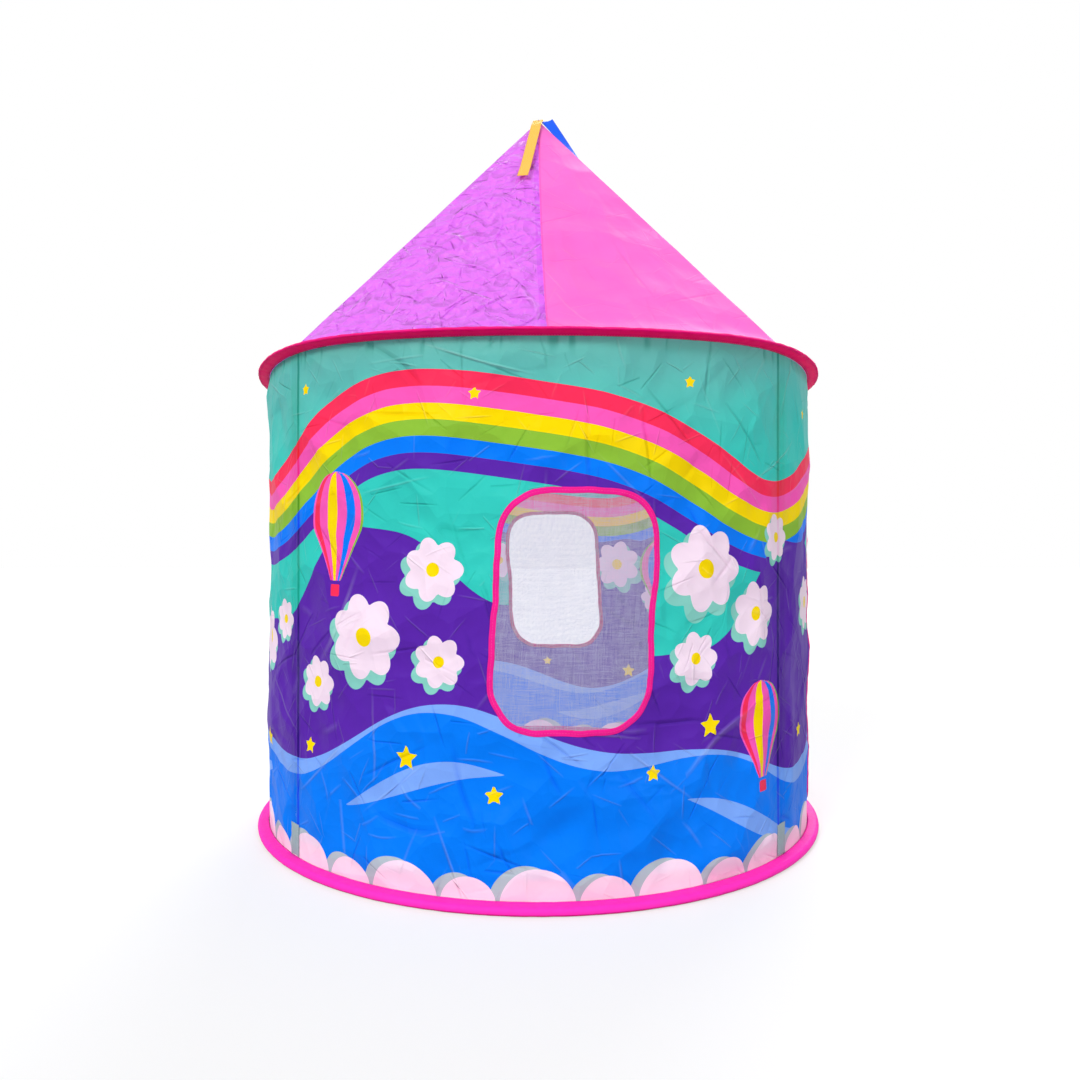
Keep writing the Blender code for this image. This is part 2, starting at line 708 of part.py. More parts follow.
def hub():
    """The plastic hub under the roof's tip, with a socket for each rib."""
    slope = math.tan(ROOF_SLOPE)
    lift = (CLOTH + HUB_CLEARANCE) / math.cos(ROOF_SLOPE)
    low = PEAK_HEIGHT - HUB_FLOOR_DROP
    profile = [
        (0.0, low),
        (HUB_RADIUS, low),
        (HUB_RADIUS, PEAK_HEIGHT - HUB_RADIUS * slope - lift),
        (NUB_RADIUS, PEAK_HEIGHT - NUB_RADIUS * slope - lift),
        (NUB_RADIUS, PEAK_HEIGHT - NUB_DROP),
        (0.0, PEAK_HEIGHT - NUB_DROP),
    ]
    turns = [TURN_DEG * k / HUB_SIDES for k in range(HUB_SIDES)]
    verts = [Vector((0, 0, low)), Vector((0, 0, PEAK_HEIGHT - NUB_DROP))]
    verts += [around(r, a, z) for r, z in profile[1:-1] for a in turns]
    faces = grid_faces(len(profile) - 2, HUB_SIDES, 2, wrap=True)
    last = 2 + (len(profile) - 3) * HUB_SIDES
    for k in range(HUB_SIDES):
        after = (k + 1) % HUB_SIDES
        faces += [(0, 2 + k, 2 + after), (1, last + k, last + after)]
    obj = make("apex_hub", verts, faces, (0.02, 0.02, 0.022), 0.5)
    for side, deg in POLES.items():
        end = rib_line(RIB_END_RADIUS, deg)
        bottom = end + (rib_line(0.0, deg) - end).normalized() * GAP
        cut(obj, bar_cutter("hub_socket_" + side, bottom, rib_line(2 * HUB_RADIUS, deg), ROD_RADIUS + GAP))
    return obj


def ribbon(name, deg, length, colour):
    """A ribbon sewn at the tip that lies down the roof."""
    slant = math.cos(ROOF_SLOPE) * length
    radii = [RIBBON_TOP_RADIUS + slant * k / RIBBON_ROWS for k in range(RIBBON_ROWS + 1)]
    outer, inner = [], []
    for radius in radii:
        share = radius / RIM_RADIUS
        over, under = [], []
        for c in range(RIBBON_COLUMNS + 1):
            along = (c / RIBBON_COLUMNS - 0.5) * RIBBON_WIDTH
            angle = deg + math.degrees(along / radius)
            point, normal = roof_point(angle, share), roof_normal(angle, share)
            under.append(point + normal * RIBBON_LIFT)
            over.append(point + normal * (RIBBON_LIFT + CLOTH))
        outer.append(over)
        inner.append(under)
    return sheet(name, outer, inner, colour)


def roof():
    """The roof's cloth, ribs, hub and ribbons."""
    purple, pink = (0.60, 0.10, 0.85), (1.0, 0.12, 0.62)
    names = ("roof_front_right", "roof_back_right", "roof_back_left", "roof_front_left")
    pieces = [roof_panel(n, 90 * k, (pink, purple)[k % 2]) for k, n in enumerate(names)]
    for side, deg in POLES.items():
        pieces += rib(side, deg)
    pieces.append(hub())
    pieces.append(ribbon("ribbon_orange", ORANGE_RIBBON_DEG, ORANGE_RIBBON_LENGTH, (0.95, 0.50, 0.08)))
    pieces.append(ribbon("ribbon_blue", BLUE_RIBBON_DEG, BLUE_RIBBON_LENGTH, (0.0, 0.08, 0.80)))
    return pieces


# Door curtains


def curtain(side, sign):
    """One curtain, drawn open and tied back, with its tie. sign is +1 for the far one, -1 for the near one."""
    lap_deg = math.degrees((DOOR_WIDTH / 2 + CURTAIN_LAP) / WALL_RADIUS)
    hinge_deg = DOOR_DEG + sign * lap_deg
    hinge_radius = WALL_INSIDE * math.cos(HALF_FACET) - GAP - CLOTH / 2
    width = 2 * hinge_radius * math.sin(math.radians(lap_deg) / 2) - CURTAIN_MIDDLE_GAP
    chord_deg = lap_deg / 2 + CURTAIN_OPEN_DEG
    away = (sideways(hinge_deg + sign * chord_deg) * sign).normalized()
    face = away.cross(Vector((0, 0, 1)))
    low = DOOR_SILL + CURTAIN_LIFT
    spring = DOOR_TOP - DOOR_WIDTH / 2
    axis = around(hinge_radius, hinge_deg, 0.0)
    turns = [math.pi / 2 * k / CORNER_POINTS for k in range(CORNER_POINTS + 1)]
    outline = [(0.0, low), (width, low)]
    arch = DOOR_TOP - spring
    outline += [(width * (1 - math.cos(t)), spring + arch * math.sin(t)) for t in turns[::-1]]
    points = [axis + away * u + Vector((0, 0, z)) - face * CLOTH / 2 for u, z in outline]
    cloth = prism("door_curtain_" + side, points, face * CLOTH, (0.10, 0.03, 0.40))
    tie_low = DOOR_SILL + TIE_HEIGHT_FROM_SILL
    end = axis + away * width
    free_deg = math.degrees(math.atan2(end.x, -end.y))
    reach = WALL_INSIDE * math.cos(HALF_FACET) - GAP - end.xy.length
    out = outwards(free_deg)
    start = end - away * (CLOTH + GAP) + out * (CLOTH / 2 + GAP) + Vector((0, 0, tie_low))
    stop = start + out * (reach - CLOTH)
    beside = away * CLOTH
    tie = prism(
        "door_tie_" + side,
        [start - beside / 2, start + beside / 2, stop + beside / 2, stop - beside / 2],
        Vector((0, 0, TIE_WIDTH)),
        (1.0, 0.05, 0.40),
    )
    hinge = pivot("pivot_curtain_" + side, axis, Vector((0, 0, 1)))
    attach([cloth, tie], hinge)


def build():
    """Makes every piece and hangs the moving ones on their pivots."""
    for obj in list(bpy.data.objects):
        bpy.data.objects.remove(obj)
    base()
    walls()
    for side, deg in POLES.items():
        sleeve(side, deg)
        pocket(side, deg)
    knees = {side: pole(side, deg) for side, deg in POLES.items()}
    first_side, first_deg = next(iter(POLES.items()))
    top = pivot("pivot_eave", around(PIVOT_RADIUS, first_deg, EAVE_PIVOT_HEIGHT), sideways(first_deg))
    attach([top], knees[first_side])
    attach([*eave(), *roof()], top)
    curtain("far", 1)
    curtain("near", -1)
    for obj in bodies:
        obj.data.shade_smooth()
        obj.data.set_sharp_from_angle(angle=math.radians(SHARP_EDGE_DEG))


build()
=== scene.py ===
"""Dresses the frame of a round kids play tent in cloth, net, tape and ribbon.

Metres, +Z up. The origin is the middle of the tent on the floor. Turns round the tent are in radians from the
front, positive towards +X. The front window faces -Y and the doorway is on the +X side.
"""

import math

import bpy
import numpy as np
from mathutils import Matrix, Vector


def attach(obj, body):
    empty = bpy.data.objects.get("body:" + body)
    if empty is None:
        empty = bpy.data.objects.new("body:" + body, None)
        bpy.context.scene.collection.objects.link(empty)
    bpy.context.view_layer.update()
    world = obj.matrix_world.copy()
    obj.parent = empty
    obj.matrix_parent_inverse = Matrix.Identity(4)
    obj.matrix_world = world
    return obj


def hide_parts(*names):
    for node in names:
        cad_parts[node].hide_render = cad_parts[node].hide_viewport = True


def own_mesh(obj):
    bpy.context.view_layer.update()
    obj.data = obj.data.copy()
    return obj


bl_info = {
    "name": "Kids play tent",
    "version": (1, 0, 0),
    "blender": (4, 5, 0),
    "location": "3D View > Sidebar > Play tent",
    "description": "Dresses a round play tent in printed cloth, net, tape and ribbon",
    "category": "Object",
}

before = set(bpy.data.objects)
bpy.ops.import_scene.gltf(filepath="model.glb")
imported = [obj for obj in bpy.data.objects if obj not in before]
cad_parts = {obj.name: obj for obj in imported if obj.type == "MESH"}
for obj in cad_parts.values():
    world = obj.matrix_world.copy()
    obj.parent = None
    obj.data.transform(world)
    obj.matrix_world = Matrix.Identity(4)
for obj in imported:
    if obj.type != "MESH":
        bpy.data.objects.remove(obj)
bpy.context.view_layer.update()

# The frame's own sizes
WALL_RADIUS = 0.505
WALL_TOP = 0.800
PEAK_HEIGHT = 1.340
ROUND = 2 * math.pi * WALL_RADIUS
POLE_RADIUS = 0.4955
POLE_TURNS = {"front_right": 50.0, "back_right": 130.0, "back_left": -130.0, "front_left": -50.0}
ROOF_RIM_HEIGHT = 0.8062
HOOP_RADIUS = 0.5218
HOOP_HEIGHT = 0.8065
WINDOWS = {"front": 6.0, "back": 175.5}
WINDOW_SIZE = (0.235, 0.345)
WINDOW_MIDDLE = 0.417
WINDOW_CORNER = 0.072
DOOR_TURN = 93.0
DOOR_SIZE = (0.400, 0.515)
DOOR_MIDDLE = 0.3125
WINDOW_CORNERS = (WINDOW_CORNER, WINDOW_CORNER)
DOOR_CORNERS = (DOOR_SIZE[0] / 2, 0.030)
TAPE = 0.010
# How far an opening's cut edge is tucked into its tape
TUCK = 0.35 * TAPE
# The turn from the doorway's middle to a curtain's sewn edge
CURTAIN_TURN = (DOOR_SIZE[0] / 2 + 0.008) / WALL_RADIUS
# How steeply the facets of crumpled cloth rise from their middles
FACET_SLOPE = 0.075
# How far the roof's seams bend to one side on their way down
SEAM_BEND = math.radians(2.0)

WHITE = (1.0, 1.0, 1.0, 1.0)


def srgb(red, green, blue):
    """A colour for the shaders from the 0 to 255 values of a colour chart."""
    chart = np.array([red, green, blue]) / 255
    linear = np.where(chart <= 0.04045, chart / 12.92, ((chart + 0.055) / 1.055) ** 2.4)
    return (*[float(c) for c in linear], 1.0)


def colour_property(name, description, red, green, blue):
    """A colour that can be picked in the panel."""
    return bpy.props.FloatVectorProperty(
        name=name,
        description=description,
        subtype="COLOR",
        size=4,
        min=0,
        max=1,
        default=srgb(red, green, blue),
    )


def length_property(name, description, default):
    """A length that can be set in the panel."""
    return bpy.props.FloatProperty(
        name=name, description=description, subtype="DISTANCE", unit="LENGTH", default=default
    )


class TentSizes(bpy.types.PropertyGroup):
    """Sizes of the soft goods."""

    cloth_step: length_property("Cloth step", "Distance between points of the wall cloth", 0.0030)
    fold_depth: length_property("Fold depth", "How far the wall's soft folds stand in and out", 0.0030)
    crease_depth: length_property("Crease depth", "Height of a packing crease", 0.0024)
    net_pitch: length_property("Net pitch", "Distance between threads of the window nets", 0.0014)
    net_thread: length_property("Net thread", "Width of one thread of the window nets", 0.00032)
    pole_lift: length_property("Pole lift", "How far each pole pushes the eave up", 0.0130)
    roof_rim: length_property("Roof rim", "Radius at which the roof is sewn on the eave", 0.5105)
    ribbon_width: length_property("Ribbon width", "Width of the two ribbons at the tip", 0.0200)


class TentColours(bpy.types.PropertyGroup):
    """Colours of the print, the plain cloths and the tapes."""

    sky: colour_property("Sky", "Ground colour of the print", 52, 208, 192)
    hill: colour_property("Hill", "Far hills of the print", 92, 40, 172)
    water: colour_property("Near hill", "Near hills of the print", 4, 128, 252)
    crest: colour_property("Crest", "Light bands on the near hills", 128, 176, 255)
    petal: colour_property("Petal", "Flowers of the print", 252, 232, 246)
    petal_shade: colour_property("Petal shade", "Shadows of the flowers", 138, 216, 200)
    scallop: colour_property("Scallop", "Scallops along the foot", 255, 228, 246)
    scallop_shade: colour_property("Scallop shade", "Shadows of the scallops", 186, 200, 208)
    star: colour_property("Star", "Stars and flower eyes", 255, 226, 0)
    red: colour_property("Red", "First stripe", 255, 50, 92)
    rose: colour_property("Rose", "Second stripe", 255, 92, 188)
    leaf: colour_property("Leaf", "Fourth stripe", 142, 196, 58)
    roof_purple: colour_property("Roof purple", "Two of the roof panels", 232, 120, 249)
    roof_pink: colour_property("Roof pink", "The other two roof panels", 255, 119, 211)
    # Painted light: the eave's tape in two tones, a painted shaded underside and a lighter top and outer
    # edge, painted as lit
    eave: colour_property("Eave", "Underside of the tape round the eave", 255, 14, 136)
    eave_lit_edge: colour_property("Eave edge", "Outer edge and top of the tape round the eave", 255, 40, 150)
    # Painted shade: the foot tape is lighter above and darker along its lower edge, where it rolls under
    # towards the floor
    foot: colour_property("Foot", "Tape round the foot", 255, 52, 188)
    foot_shade: colour_property("Foot shade", "Lower edge of the tape round the foot", 232, 20, 136)
    tape: colour_property("Tape", "Tape round the windows and doorway", 255, 38, 158)
    net: colour_property("Net", "Threads of the window nets", 226, 232, 244)
    curtain: colour_property("Curtain", "The two door curtains", 92, 40, 176)
    sleeve: colour_property("Sleeve", "Pole sleeves and foot patches", 150, 172, 176)
    patch: colour_property("Patch", "Patches over the poles' feet", 158, 176, 182)
    orange: colour_property("Orange", "Front ribbon", 252, 186, 72)
    blue: colour_property("Blue", "Side ribbon", 0, 88, 240)


# Shapes as functions of two parameters


def noise(x, y, seed, wrap=None):
    """Smooth noise from about -1 to 1: a random slope at each whole number, blended by 6t^5-15t^4+10t^3.

    wrap is the whole number of cells after which x repeats.
    """
    left, low = np.floor(x), np.floor(y)
    across, up = x - left, y - low
    ease_x, ease_y = (t * t * t * (t * (6 * t - 15) + 10) for t in (across, up))

    def corner(i, j):
        column = (left + i) % wrap if wrap else left + i
        turn = np.sin(column * 127.1 + (low + j) * 311.7 + seed * 74.7) * 43758.5453
        turn = (turn - np.floor(turn)) * 2 * np.pi
        return np.cos(turn) * (across - i) + np.sin(turn) * (up - j)

    bottom = corner(0, 0) * (1 - ease_x) + corner(1, 0) * ease_x
    top = corner(0, 1) * (1 - ease_x) + corner(1, 1) * ease_x
    return 1.5 * (bottom * (1 - ease_y) + top * ease_y)


def round_noise(share, level, cells, seed):
    """Noise that closes on itself after some number of cells round the tent, at a share of the way round."""
    return noise(share * cells, level, seed, cells)


def grid(rows, columns):
    """Two grids of numbers, one that varies down the rows and one along the columns."""
    return np.meshgrid(rows, columns, indexing="ij")


def circle(count):
    """Evenly spaced turns round a circle."""
    return np.arange(count) / count * 2 * np.pi


def squarish(wave, power):
    """A sine or cosine that stays longer near its ends, which makes a round section squarer."""
    return np.sign(wave) * np.abs(wave) ** power


def around(turn, radius, height):
    """Points at a turn round the tent, some way from its axis."""
    return np.stack([radius * np.sin(turn), -radius * np.cos(turn), height], axis=-1)


def wrapped(distance, length):
    """A distance round a loop of some length, as the shorter way."""
    return (distance + length / 2) % length - length / 2


def ease(low, high, value):
    """0 below low, 1 above high and a smooth 3t^2-2t^3 between."""
    t = np.clip((value - low) / (high - low), 0, 1)
    return t * t * (3 - 2 * t)


def creases(x, y, count, seed, span_x, span_y, depth, loop=None):
    """Packing creases: bent lines along which the cloth peaks as exp(-distance/width), fading to their ends.

    The width is narrow on one side of a line and wide on the other. loop is the length after which x repeats.
    """
    chance = np.random.default_rng(seed)
    height = np.zeros_like(x)
    for _ in range(count):
        middle_x, middle_y = chance.uniform(*span_x), chance.uniform(*span_y)
        turn, bend = chance.uniform(0, math.pi), chance.normal(0, 1.2)
        half = chance.uniform(0.03, 0.18)
        narrow, wide = chance.uniform(0.003, 0.005), chance.uniform(0.008, 0.026)
        peak = depth * chance.uniform(0.3, 1.0) * chance.choice((-1.0, 1.0))
        dx = wrapped(x - middle_x, loop) if loop else x - middle_x
        dy = y - middle_y
        along = dx * math.cos(turn) + dy * math.sin(turn)
        off = dy * math.cos(turn) - dx * math.sin(turn) - bend * along**2
        fade = np.clip(1 - (along / half) ** 2, 0, 1) ** 2
        height += peak * fade * np.exp(-np.abs(off) / np.where(off > 0, narrow, wide))
    return height


def facets(x, y, count, seed, span_x, span_y, loop=None):
    """Crumpled facets: the distance to the nearest random point, which folds on the lines between points."""
    chance = np.random.default_rng(seed)
    nearest = np.full(np.broadcast(x, y).shape, 9.0)
    low, high = zip(span_x, span_y)
    for middle_x, middle_y in chance.uniform(low, high, (count, 2)):
        dx = wrapped(x - middle_x, loop) if loop else x - middle_x
        nearest = np.minimum(nearest, dx**2 + (y - middle_y) ** 2)
    return np.sqrt(nearest)


def lean(height):
    """How far a window's upper part leans to the right of its lower part, as the cloth hangs."""
    return 0.0070 * np.tanh((height - WINDOW_MIDDLE) / 0.10)


def pole_distance(turn):
    """Distance along the wall from the nearest pole."""
    gaps = [np.abs(wrapped(turn - math.radians(p), 2 * math.pi)) for p in POLE_TURNS.values()]
    return np.min(gaps, axis=0) * WALL_RADIUS


def eave_lift(turn):
    """How far the poles push the eave up: a bell curve round each pole."""
    lift = bpy.context.scene.tent_sizes.pole_lift
    return lift * np.exp(-((pole_distance(turn) / WALL_RADIUS / math.radians(28)) ** 2))


def gathers(turn, height):
    """Short pleats where the wall is sewn to the eave, from 0 to 1: bands of noise that fade downwards."""
    share = turn / (2 * math.pi)
    band = ease(0.34, 0.74, round_noise(share, height / 0.12, 300, 11))
    length = 0.016 + 0.014 * round_noise(share, height * 0, 90, 13)
    return band * np.exp(-(((WALL_TOP - height) / np.clip(length, 0.006, 0.04)) ** 2))


def slack(turn, height):
    """How far the wall cloth may draw in before it meets the skirt, a pole sleeve or a curtain: 1 to 6 mm."""
    least, more = 0.0008, 0.0050
    beside = np.abs(wrapped(turn - math.radians(DOOR_TURN), 2 * math.pi))
    off_curtains = np.maximum(ease(math.radians(33), math.radians(40), beside), ease(0.57, 0.66, height))
    off_skirt = ease(0.048, 0.075, height)
    return least + more * off_curtains * off_skirt * ease(0.021, 0.040, pole_distance(turn))


def wall_relief(turn, height):
    """How far the wall cloth stands out of its cylinder, with its folds, gathers, facets and creases."""
    sizes = bpy.context.scene.tent_sizes
    share = turn / (2 * math.pi)
    along = turn * WALL_RADIUS
    soft = round_noise(share, height / 0.34, 14, 3) + 0.5 * round_noise(share, height / 0.13, 34, 5)
    soft = soft + 0.30 * noise(share * 74 + height * 6, height / 0.045, 9, 74)
    bend = 0.012 * round_noise(share, height / 0.05, 60, 7)
    spans = (-ROUND / 2, ROUND / 2), (0, WALL_TOP)
    broad = facets(along + bend, height + bend, 300, 23, *spans, ROUND) - 0.030
    upright = round_noise(share, height / 0.50, 70, 17) * ease(0.34, 0.02, height)
    packed = creases(along, height, 260, 21, *spans, sizes.crease_depth, ROUND)
    relief = sizes.fold_depth * soft + FACET_SLOPE * broad + 0.0008 * upright + packed
    # Flat where it is sewn to the eave and the foot, and tight over the poles
    held = ease(0.0, 0.030, WALL_TOP - height) * ease(0.018, 0.060, height)
    pole = pole_distance(turn)
    relief *= held * (0.10 + 0.90 * ease(0.008, 0.050, pole))
    seam = 0.0012 * np.exp(-((pole / 0.0030) ** 2))
    pleat = 0.0007 * noise(height / 0.011, turn * 40, 31) * np.exp(-pole / 0.012)
    relief = relief - (seam - pleat) * held
    relief = relief - 0.0022 * gathers(turn, height) * ease(0.0, 0.006, WALL_TOP - height)
    most = slack(turn, height)
    return np.where(relief < 0, most * np.tanh(relief / most), relief)


def wall_points(turn, height, out=0.0):
    """Points on the wall cloth, some way out of it. The top edge rises with the eave."""
    radius = WALL_RADIUS - 0.0005 + out + wall_relief(turn, height)
    lifted = height + eave_lift(turn) * ease(0.45, WALL_TOP, height)
    return around(turn, radius, lifted)


def mesh_piece(name, points, faces, body, finish, point_values=None, uv=None, caps=()):
    """A piece from points and quads, with numbers kept at its points and a UV map, that rides on a body.

    All faces are turned round if the sum of (face normal . face middle) is negative, so that they point out.
    """
    points = points.reshape(-1, 3)
    used, back = np.unique(faces, return_inverse=True)
    quads = back.reshape(faces.shape)
    place = np.zeros(len(points), int)
    place[used] = np.arange(len(used))
    corner = points[used][quads]
    normal = np.cross(corner[:, 2] - corner[:, 0], corner[:, 3] - corner[:, 1])
    turned = 1 if (normal * corner.mean(axis=1)).sum() >= 0 else -1
    polygons = quads[:, ::turned].tolist() + [place[np.array(cap)][::turned].tolist() for cap in caps]
    mesh = bpy.data.meshes.new(name)
    mesh.from_pydata(points[used].tolist(), [], polygons)
    for key, values in (point_values or {}).items():
        attribute = mesh.attributes.new(key, "FLOAT", "POINT")
        attribute.data.foreach_set("value", values.reshape(-1)[used].astype(np.float32))
    if uv is not None:
        layer = mesh.uv_layers.new(name="UVMap")
        corners = np.empty(len(mesh.loops), np.int32)
        mesh.loops.foreach_get("vertex_index", corners)
        spots = np.stack(uv, axis=-1).reshape(-1, 2)
        layer.data.foreach_set("uv", spots[used][corners].astype(np.float32).ravel())
    mesh.materials.append(made(finish))
    mesh.shade_smooth()
    piece = bpy.data.objects.new(name, mesh)
    bpy.context.collection.objects.link(piece)
    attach(piece, body)
    return piece


def grid_faces(rows, columns, rows_meet=False, columns_meet=False):
    """Quads over a grid of points, whose first and last rows or columns may meet."""
    down = np.arange(rows if rows_meet else rows - 1)[:, None]
    along = np.arange(columns if columns_meet else columns - 1)[None, :]
    below, beside = (down + 1) % rows, (along + 1) % columns
    corners = (down, along), (down, beside), (below, beside), (below, along)
    quads = [row * columns + column for row, column in corners]
    return np.stack([np.broadcast_to(q, quads[0].shape) for q in quads], axis=-1).reshape(-1, 4)


def end_caps(rows, columns):
    """The two faces that close the first and last rows of a tube's grid."""
    return [list(range(columns))[::-1], list(range((rows - 1) * columns, rows * columns))]


def thicken(piece, thickness):
    """Gives a sheet its thickness, half to each side."""
    solid = piece.modifiers.new("thickness", "SOLIDIFY")
    solid.thickness = thickness
    solid.offset = 0


def crumple(piece):
    """Gives a soft piece its own copy of its mesh."""
    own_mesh(piece)


def opening_field(along, height, size, corner, middle):
    """Distance outside a rectangle with round corners, negative inside. corner is (top, bottom)."""
    round_by = np.where(height > middle, corner[0], corner[1])
    dx = np.abs(along) - (size[0] / 2 - round_by)
    dz = np.abs(height - middle) - (size[1] / 2 - round_by)
    outside = np.hypot(np.maximum(dx, 0), np.maximum(dz, 0))
    return outside + np.minimum(np.maximum(dx, dz), 0) - round_by


def window_field(turn, height, side):
    """Distance outside a window."""
    along = wrapped(turn - math.radians(WINDOWS[side]), 2 * math.pi) * WALL_RADIUS - lean(height)
    return opening_field(along, height, WINDOW_SIZE, WINDOW_CORNERS, WINDOW_MIDDLE)


def door_field(turn, height):
    """Distance outside the doorway."""
    along = wrapped(turn - math.radians(DOOR_TURN), 2 * math.pi) * WALL_RADIUS
    return opening_field(along, height, DOOR_SIZE, DOOR_CORNERS, DOOR_MIDDLE)


def opening_line(size, corner, middle, inset, steps):
    """An opening's outline as evenly spaced (along, height) points: quarter circles and straight lines."""
    width, high = size[0] / 2 - inset, size[1] / 2 - inset
    line = []
    for first, (side, up), round_by in (
        (0, (1, 1), corner[0] - inset),
        (90, (-1, 1), corner[0] - inset),
        (180, (-1, -1), corner[1] - inset),
        (270, (1, -1), corner[1] - inset),
    ):
        turns = np.radians(first + np.linspace(0, 90, 24))
        arc = np.stack([np.cos(turns), np.sin(turns)], axis=-1) * round_by
        line.append(arc + [side * (width - round_by), middle + up * (high - round_by)])
    line = np.concatenate([*line, line[0][:1]])
    reach = np.concatenate([[0], np.cumsum(np.hypot(*np.diff(line, axis=0).T))])
    even = np.linspace(0, reach[-1], steps, endpoint=False)
    return np.stack([np.interp(even, reach, line[:, k]) for k in (0, 1)], axis=-1), reach[-1]


# Finishes


class Finish:
    """A material that is built as a list of steps."""

    def __init__(self, name):
        self.material = bpy.data.materials.new(name)
        self.material.use_nodes = True
        self.nodes, self.links = self.material.node_tree.nodes, self.material.node_tree.links
        self.nodes.clear()
        self.place = self.add("TexCoord").outputs["Object"]

    def add(self, kind, sockets=None, **settings):
        """A node with its settings, and its sockets set or linked."""
        node = self.nodes.new("ShaderNode" + kind)
        for key, value in settings.items():
            setattr(node, key, value)
        for key, value in (sockets or {}).items():
            if isinstance(value, bpy.types.NodeSocket):
                self.links.new(value, node.inputs[key])
            else:
                node.inputs[key].default_value = value
        return node

    def math(self, operation, first, second=0.0, third=0.0, clamp=False):
        """One sum."""
        node = self.add("Math", {0: first, 1: second, 2: third}, operation=operation, use_clamp=clamp)
        return node.outputs[0]

    def times(self, first, second, clamp=False):
        """Two numbers multiplied."""
        return self.math("MULTIPLY", first, second, clamp=clamp)

    def mix(self, share, first, second, blend="MIX"):
        """Two colours mixed by a share."""
        node = self.add("Mix", {0: share, 6: first, 7: second}, data_type="RGBA", blend_type=blend)
        return node.outputs[2]

    def deeper(self, share, colour):
        """A colour mixed with its own square, which is darker and stronger."""
        return self.mix(share, colour, colour, "MULTIPLY")

    def near(self, value, middle, reach):
        """1 where a number is within reach of a middle, and 0 elsewhere."""
        return self.math("LESS_THAN", self.math("ABSOLUTE", self.math("SUBTRACT", value, middle)), reach)

    def map_spot(self):
        """The two numbers of the piece's UV map."""
        spot = self.add("SeparateXYZ", {"Vector": self.add("UVMap", uv_map="UVMap").outputs[0]})
        return spot.outputs[0], spot.outputs[1]

    def value(self, name):
        """A number kept at the piece's points."""
        return self.add("Attribute", attribute_name=name).outputs["Fac"]

    def stripes(self, across, colours):
        """Bands of colour with hard edges, for a number from 0 to 1."""
        node = self.add("ValToRGB", {"Fac": across})
        ramp = node.color_ramp
        ramp.interpolation = "CONSTANT"
        while len(ramp.elements) < len(colours):
            ramp.elements.new(1.0)
        for k, colour in enumerate(colours):
            ramp.elements[k].position = k / len(colours)
            ramp.elements[k].color = colour
        return node.outputs["Color"]

    def noise(self, scale, detail=2.0, distortion=0.0, stretch=None):
        """Smooth noise from 0 to 1 at a scale per metre."""
        where = self.place
        if stretch:
            where = self.add("Mapping", {"Vector": where, "Scale": stretch}).outputs["Vector"]
        sockets = {"Vector": where, "Scale": scale, "Detail": detail, "Distortion": distortion}
        return self.add("TexNoise", sockets).outputs["Fac"]

    def vectors(self, operation, first, second=(0.0, 0.0, 0.0), result="Vector"):
        """One sum of vectors."""
        return self.add("VectorMath", {0: first, 1: second}, operation=operation).outputs[result]

    def folds(self, scale, width, shift=0.0):
        """Straight creases, one to a random cell: 1 on a plane through its middle, 0 at a width off it.

        They fade towards the cell's edge. The plane's turn is the cell's own random colour.
        """
        where = self.vectors("ADD", self.place, (shift,) * 3)
        cell = self.add("TexVoronoi", {"Vector": where, "Scale": scale}, feature="F1")
        off = self.vectors("SUBTRACT", where, cell.outputs["Position"])
        turn = self.vectors("NORMALIZE", self.vectors("SUBTRACT", cell.outputs["Color"], (0.5,) * 3))
        gap = self.math("ABSOLUTE", self.vectors("DOT_PRODUCT", off, turn, "Value"))
        line = self.math("SUBTRACT", 1.0, self.math("DIVIDE", gap, width), clamp=True)
        fade = self.times(self.math("SUBTRACT", 0.62, cell.outputs["Distance"]), 2.6, clamp=True)
        return self.times(line, fade)

    def cells(self, scale):
        """Facets: how far a spot is from the middle of its random cell."""
        cell = self.add("TexVoronoi", {"Vector": self.place, "Scale": scale}, feature="F1")
        return cell.outputs["Distance"]

    def patches(self, scale, low=0.46, high=0.58):
        """1 in some patches and 0 in others."""
        sockets = {"Value": self.noise(scale), "From Min": low, "From Max": high}
        return self.add("MapRange", sockets).outputs["Result"]

    def bump(self, height, depth, under=None):
        """A normal that stands by depth metres where height is 1."""
        sockets = {"Height": height, "Distance": depth, "Strength": 1.0}
        if under is not None:
            sockets["Normal"] = under
        return self.add("Bump", sockets).outputs["Normal"]

    def surface(self, colour, roughness, normal=None, more=None):
        """A surface that sends light back. more are its other settings."""
        sockets = {"Base Color": colour, "Roughness": roughness, **(more or {})}
        if normal is not None:
            sockets["Normal"] = normal
        return self.add("BsdfPrincipled", sockets).outputs[0]

    def thin(self, through, front, colour, normal=None):
        """A surface that also lets a share of the light behind it through."""
        sockets = {"Color": colour}
        if normal is not None:
            sockets["Normal"] = normal
        back = self.add("BsdfTranslucent", sockets)
        return self.add("MixShader", {0: through, 1: front, 2: back.outputs[0]}).outputs[0]

    def done(self, shader):
        """The finished material."""
        self.add("OutputMaterial", {"Surface": shader})
        return self.material


def darker(colour, share):
    """A colour at a share of its brightness."""
    return tuple(c * share for c in colour[:3]) + (1.0,)


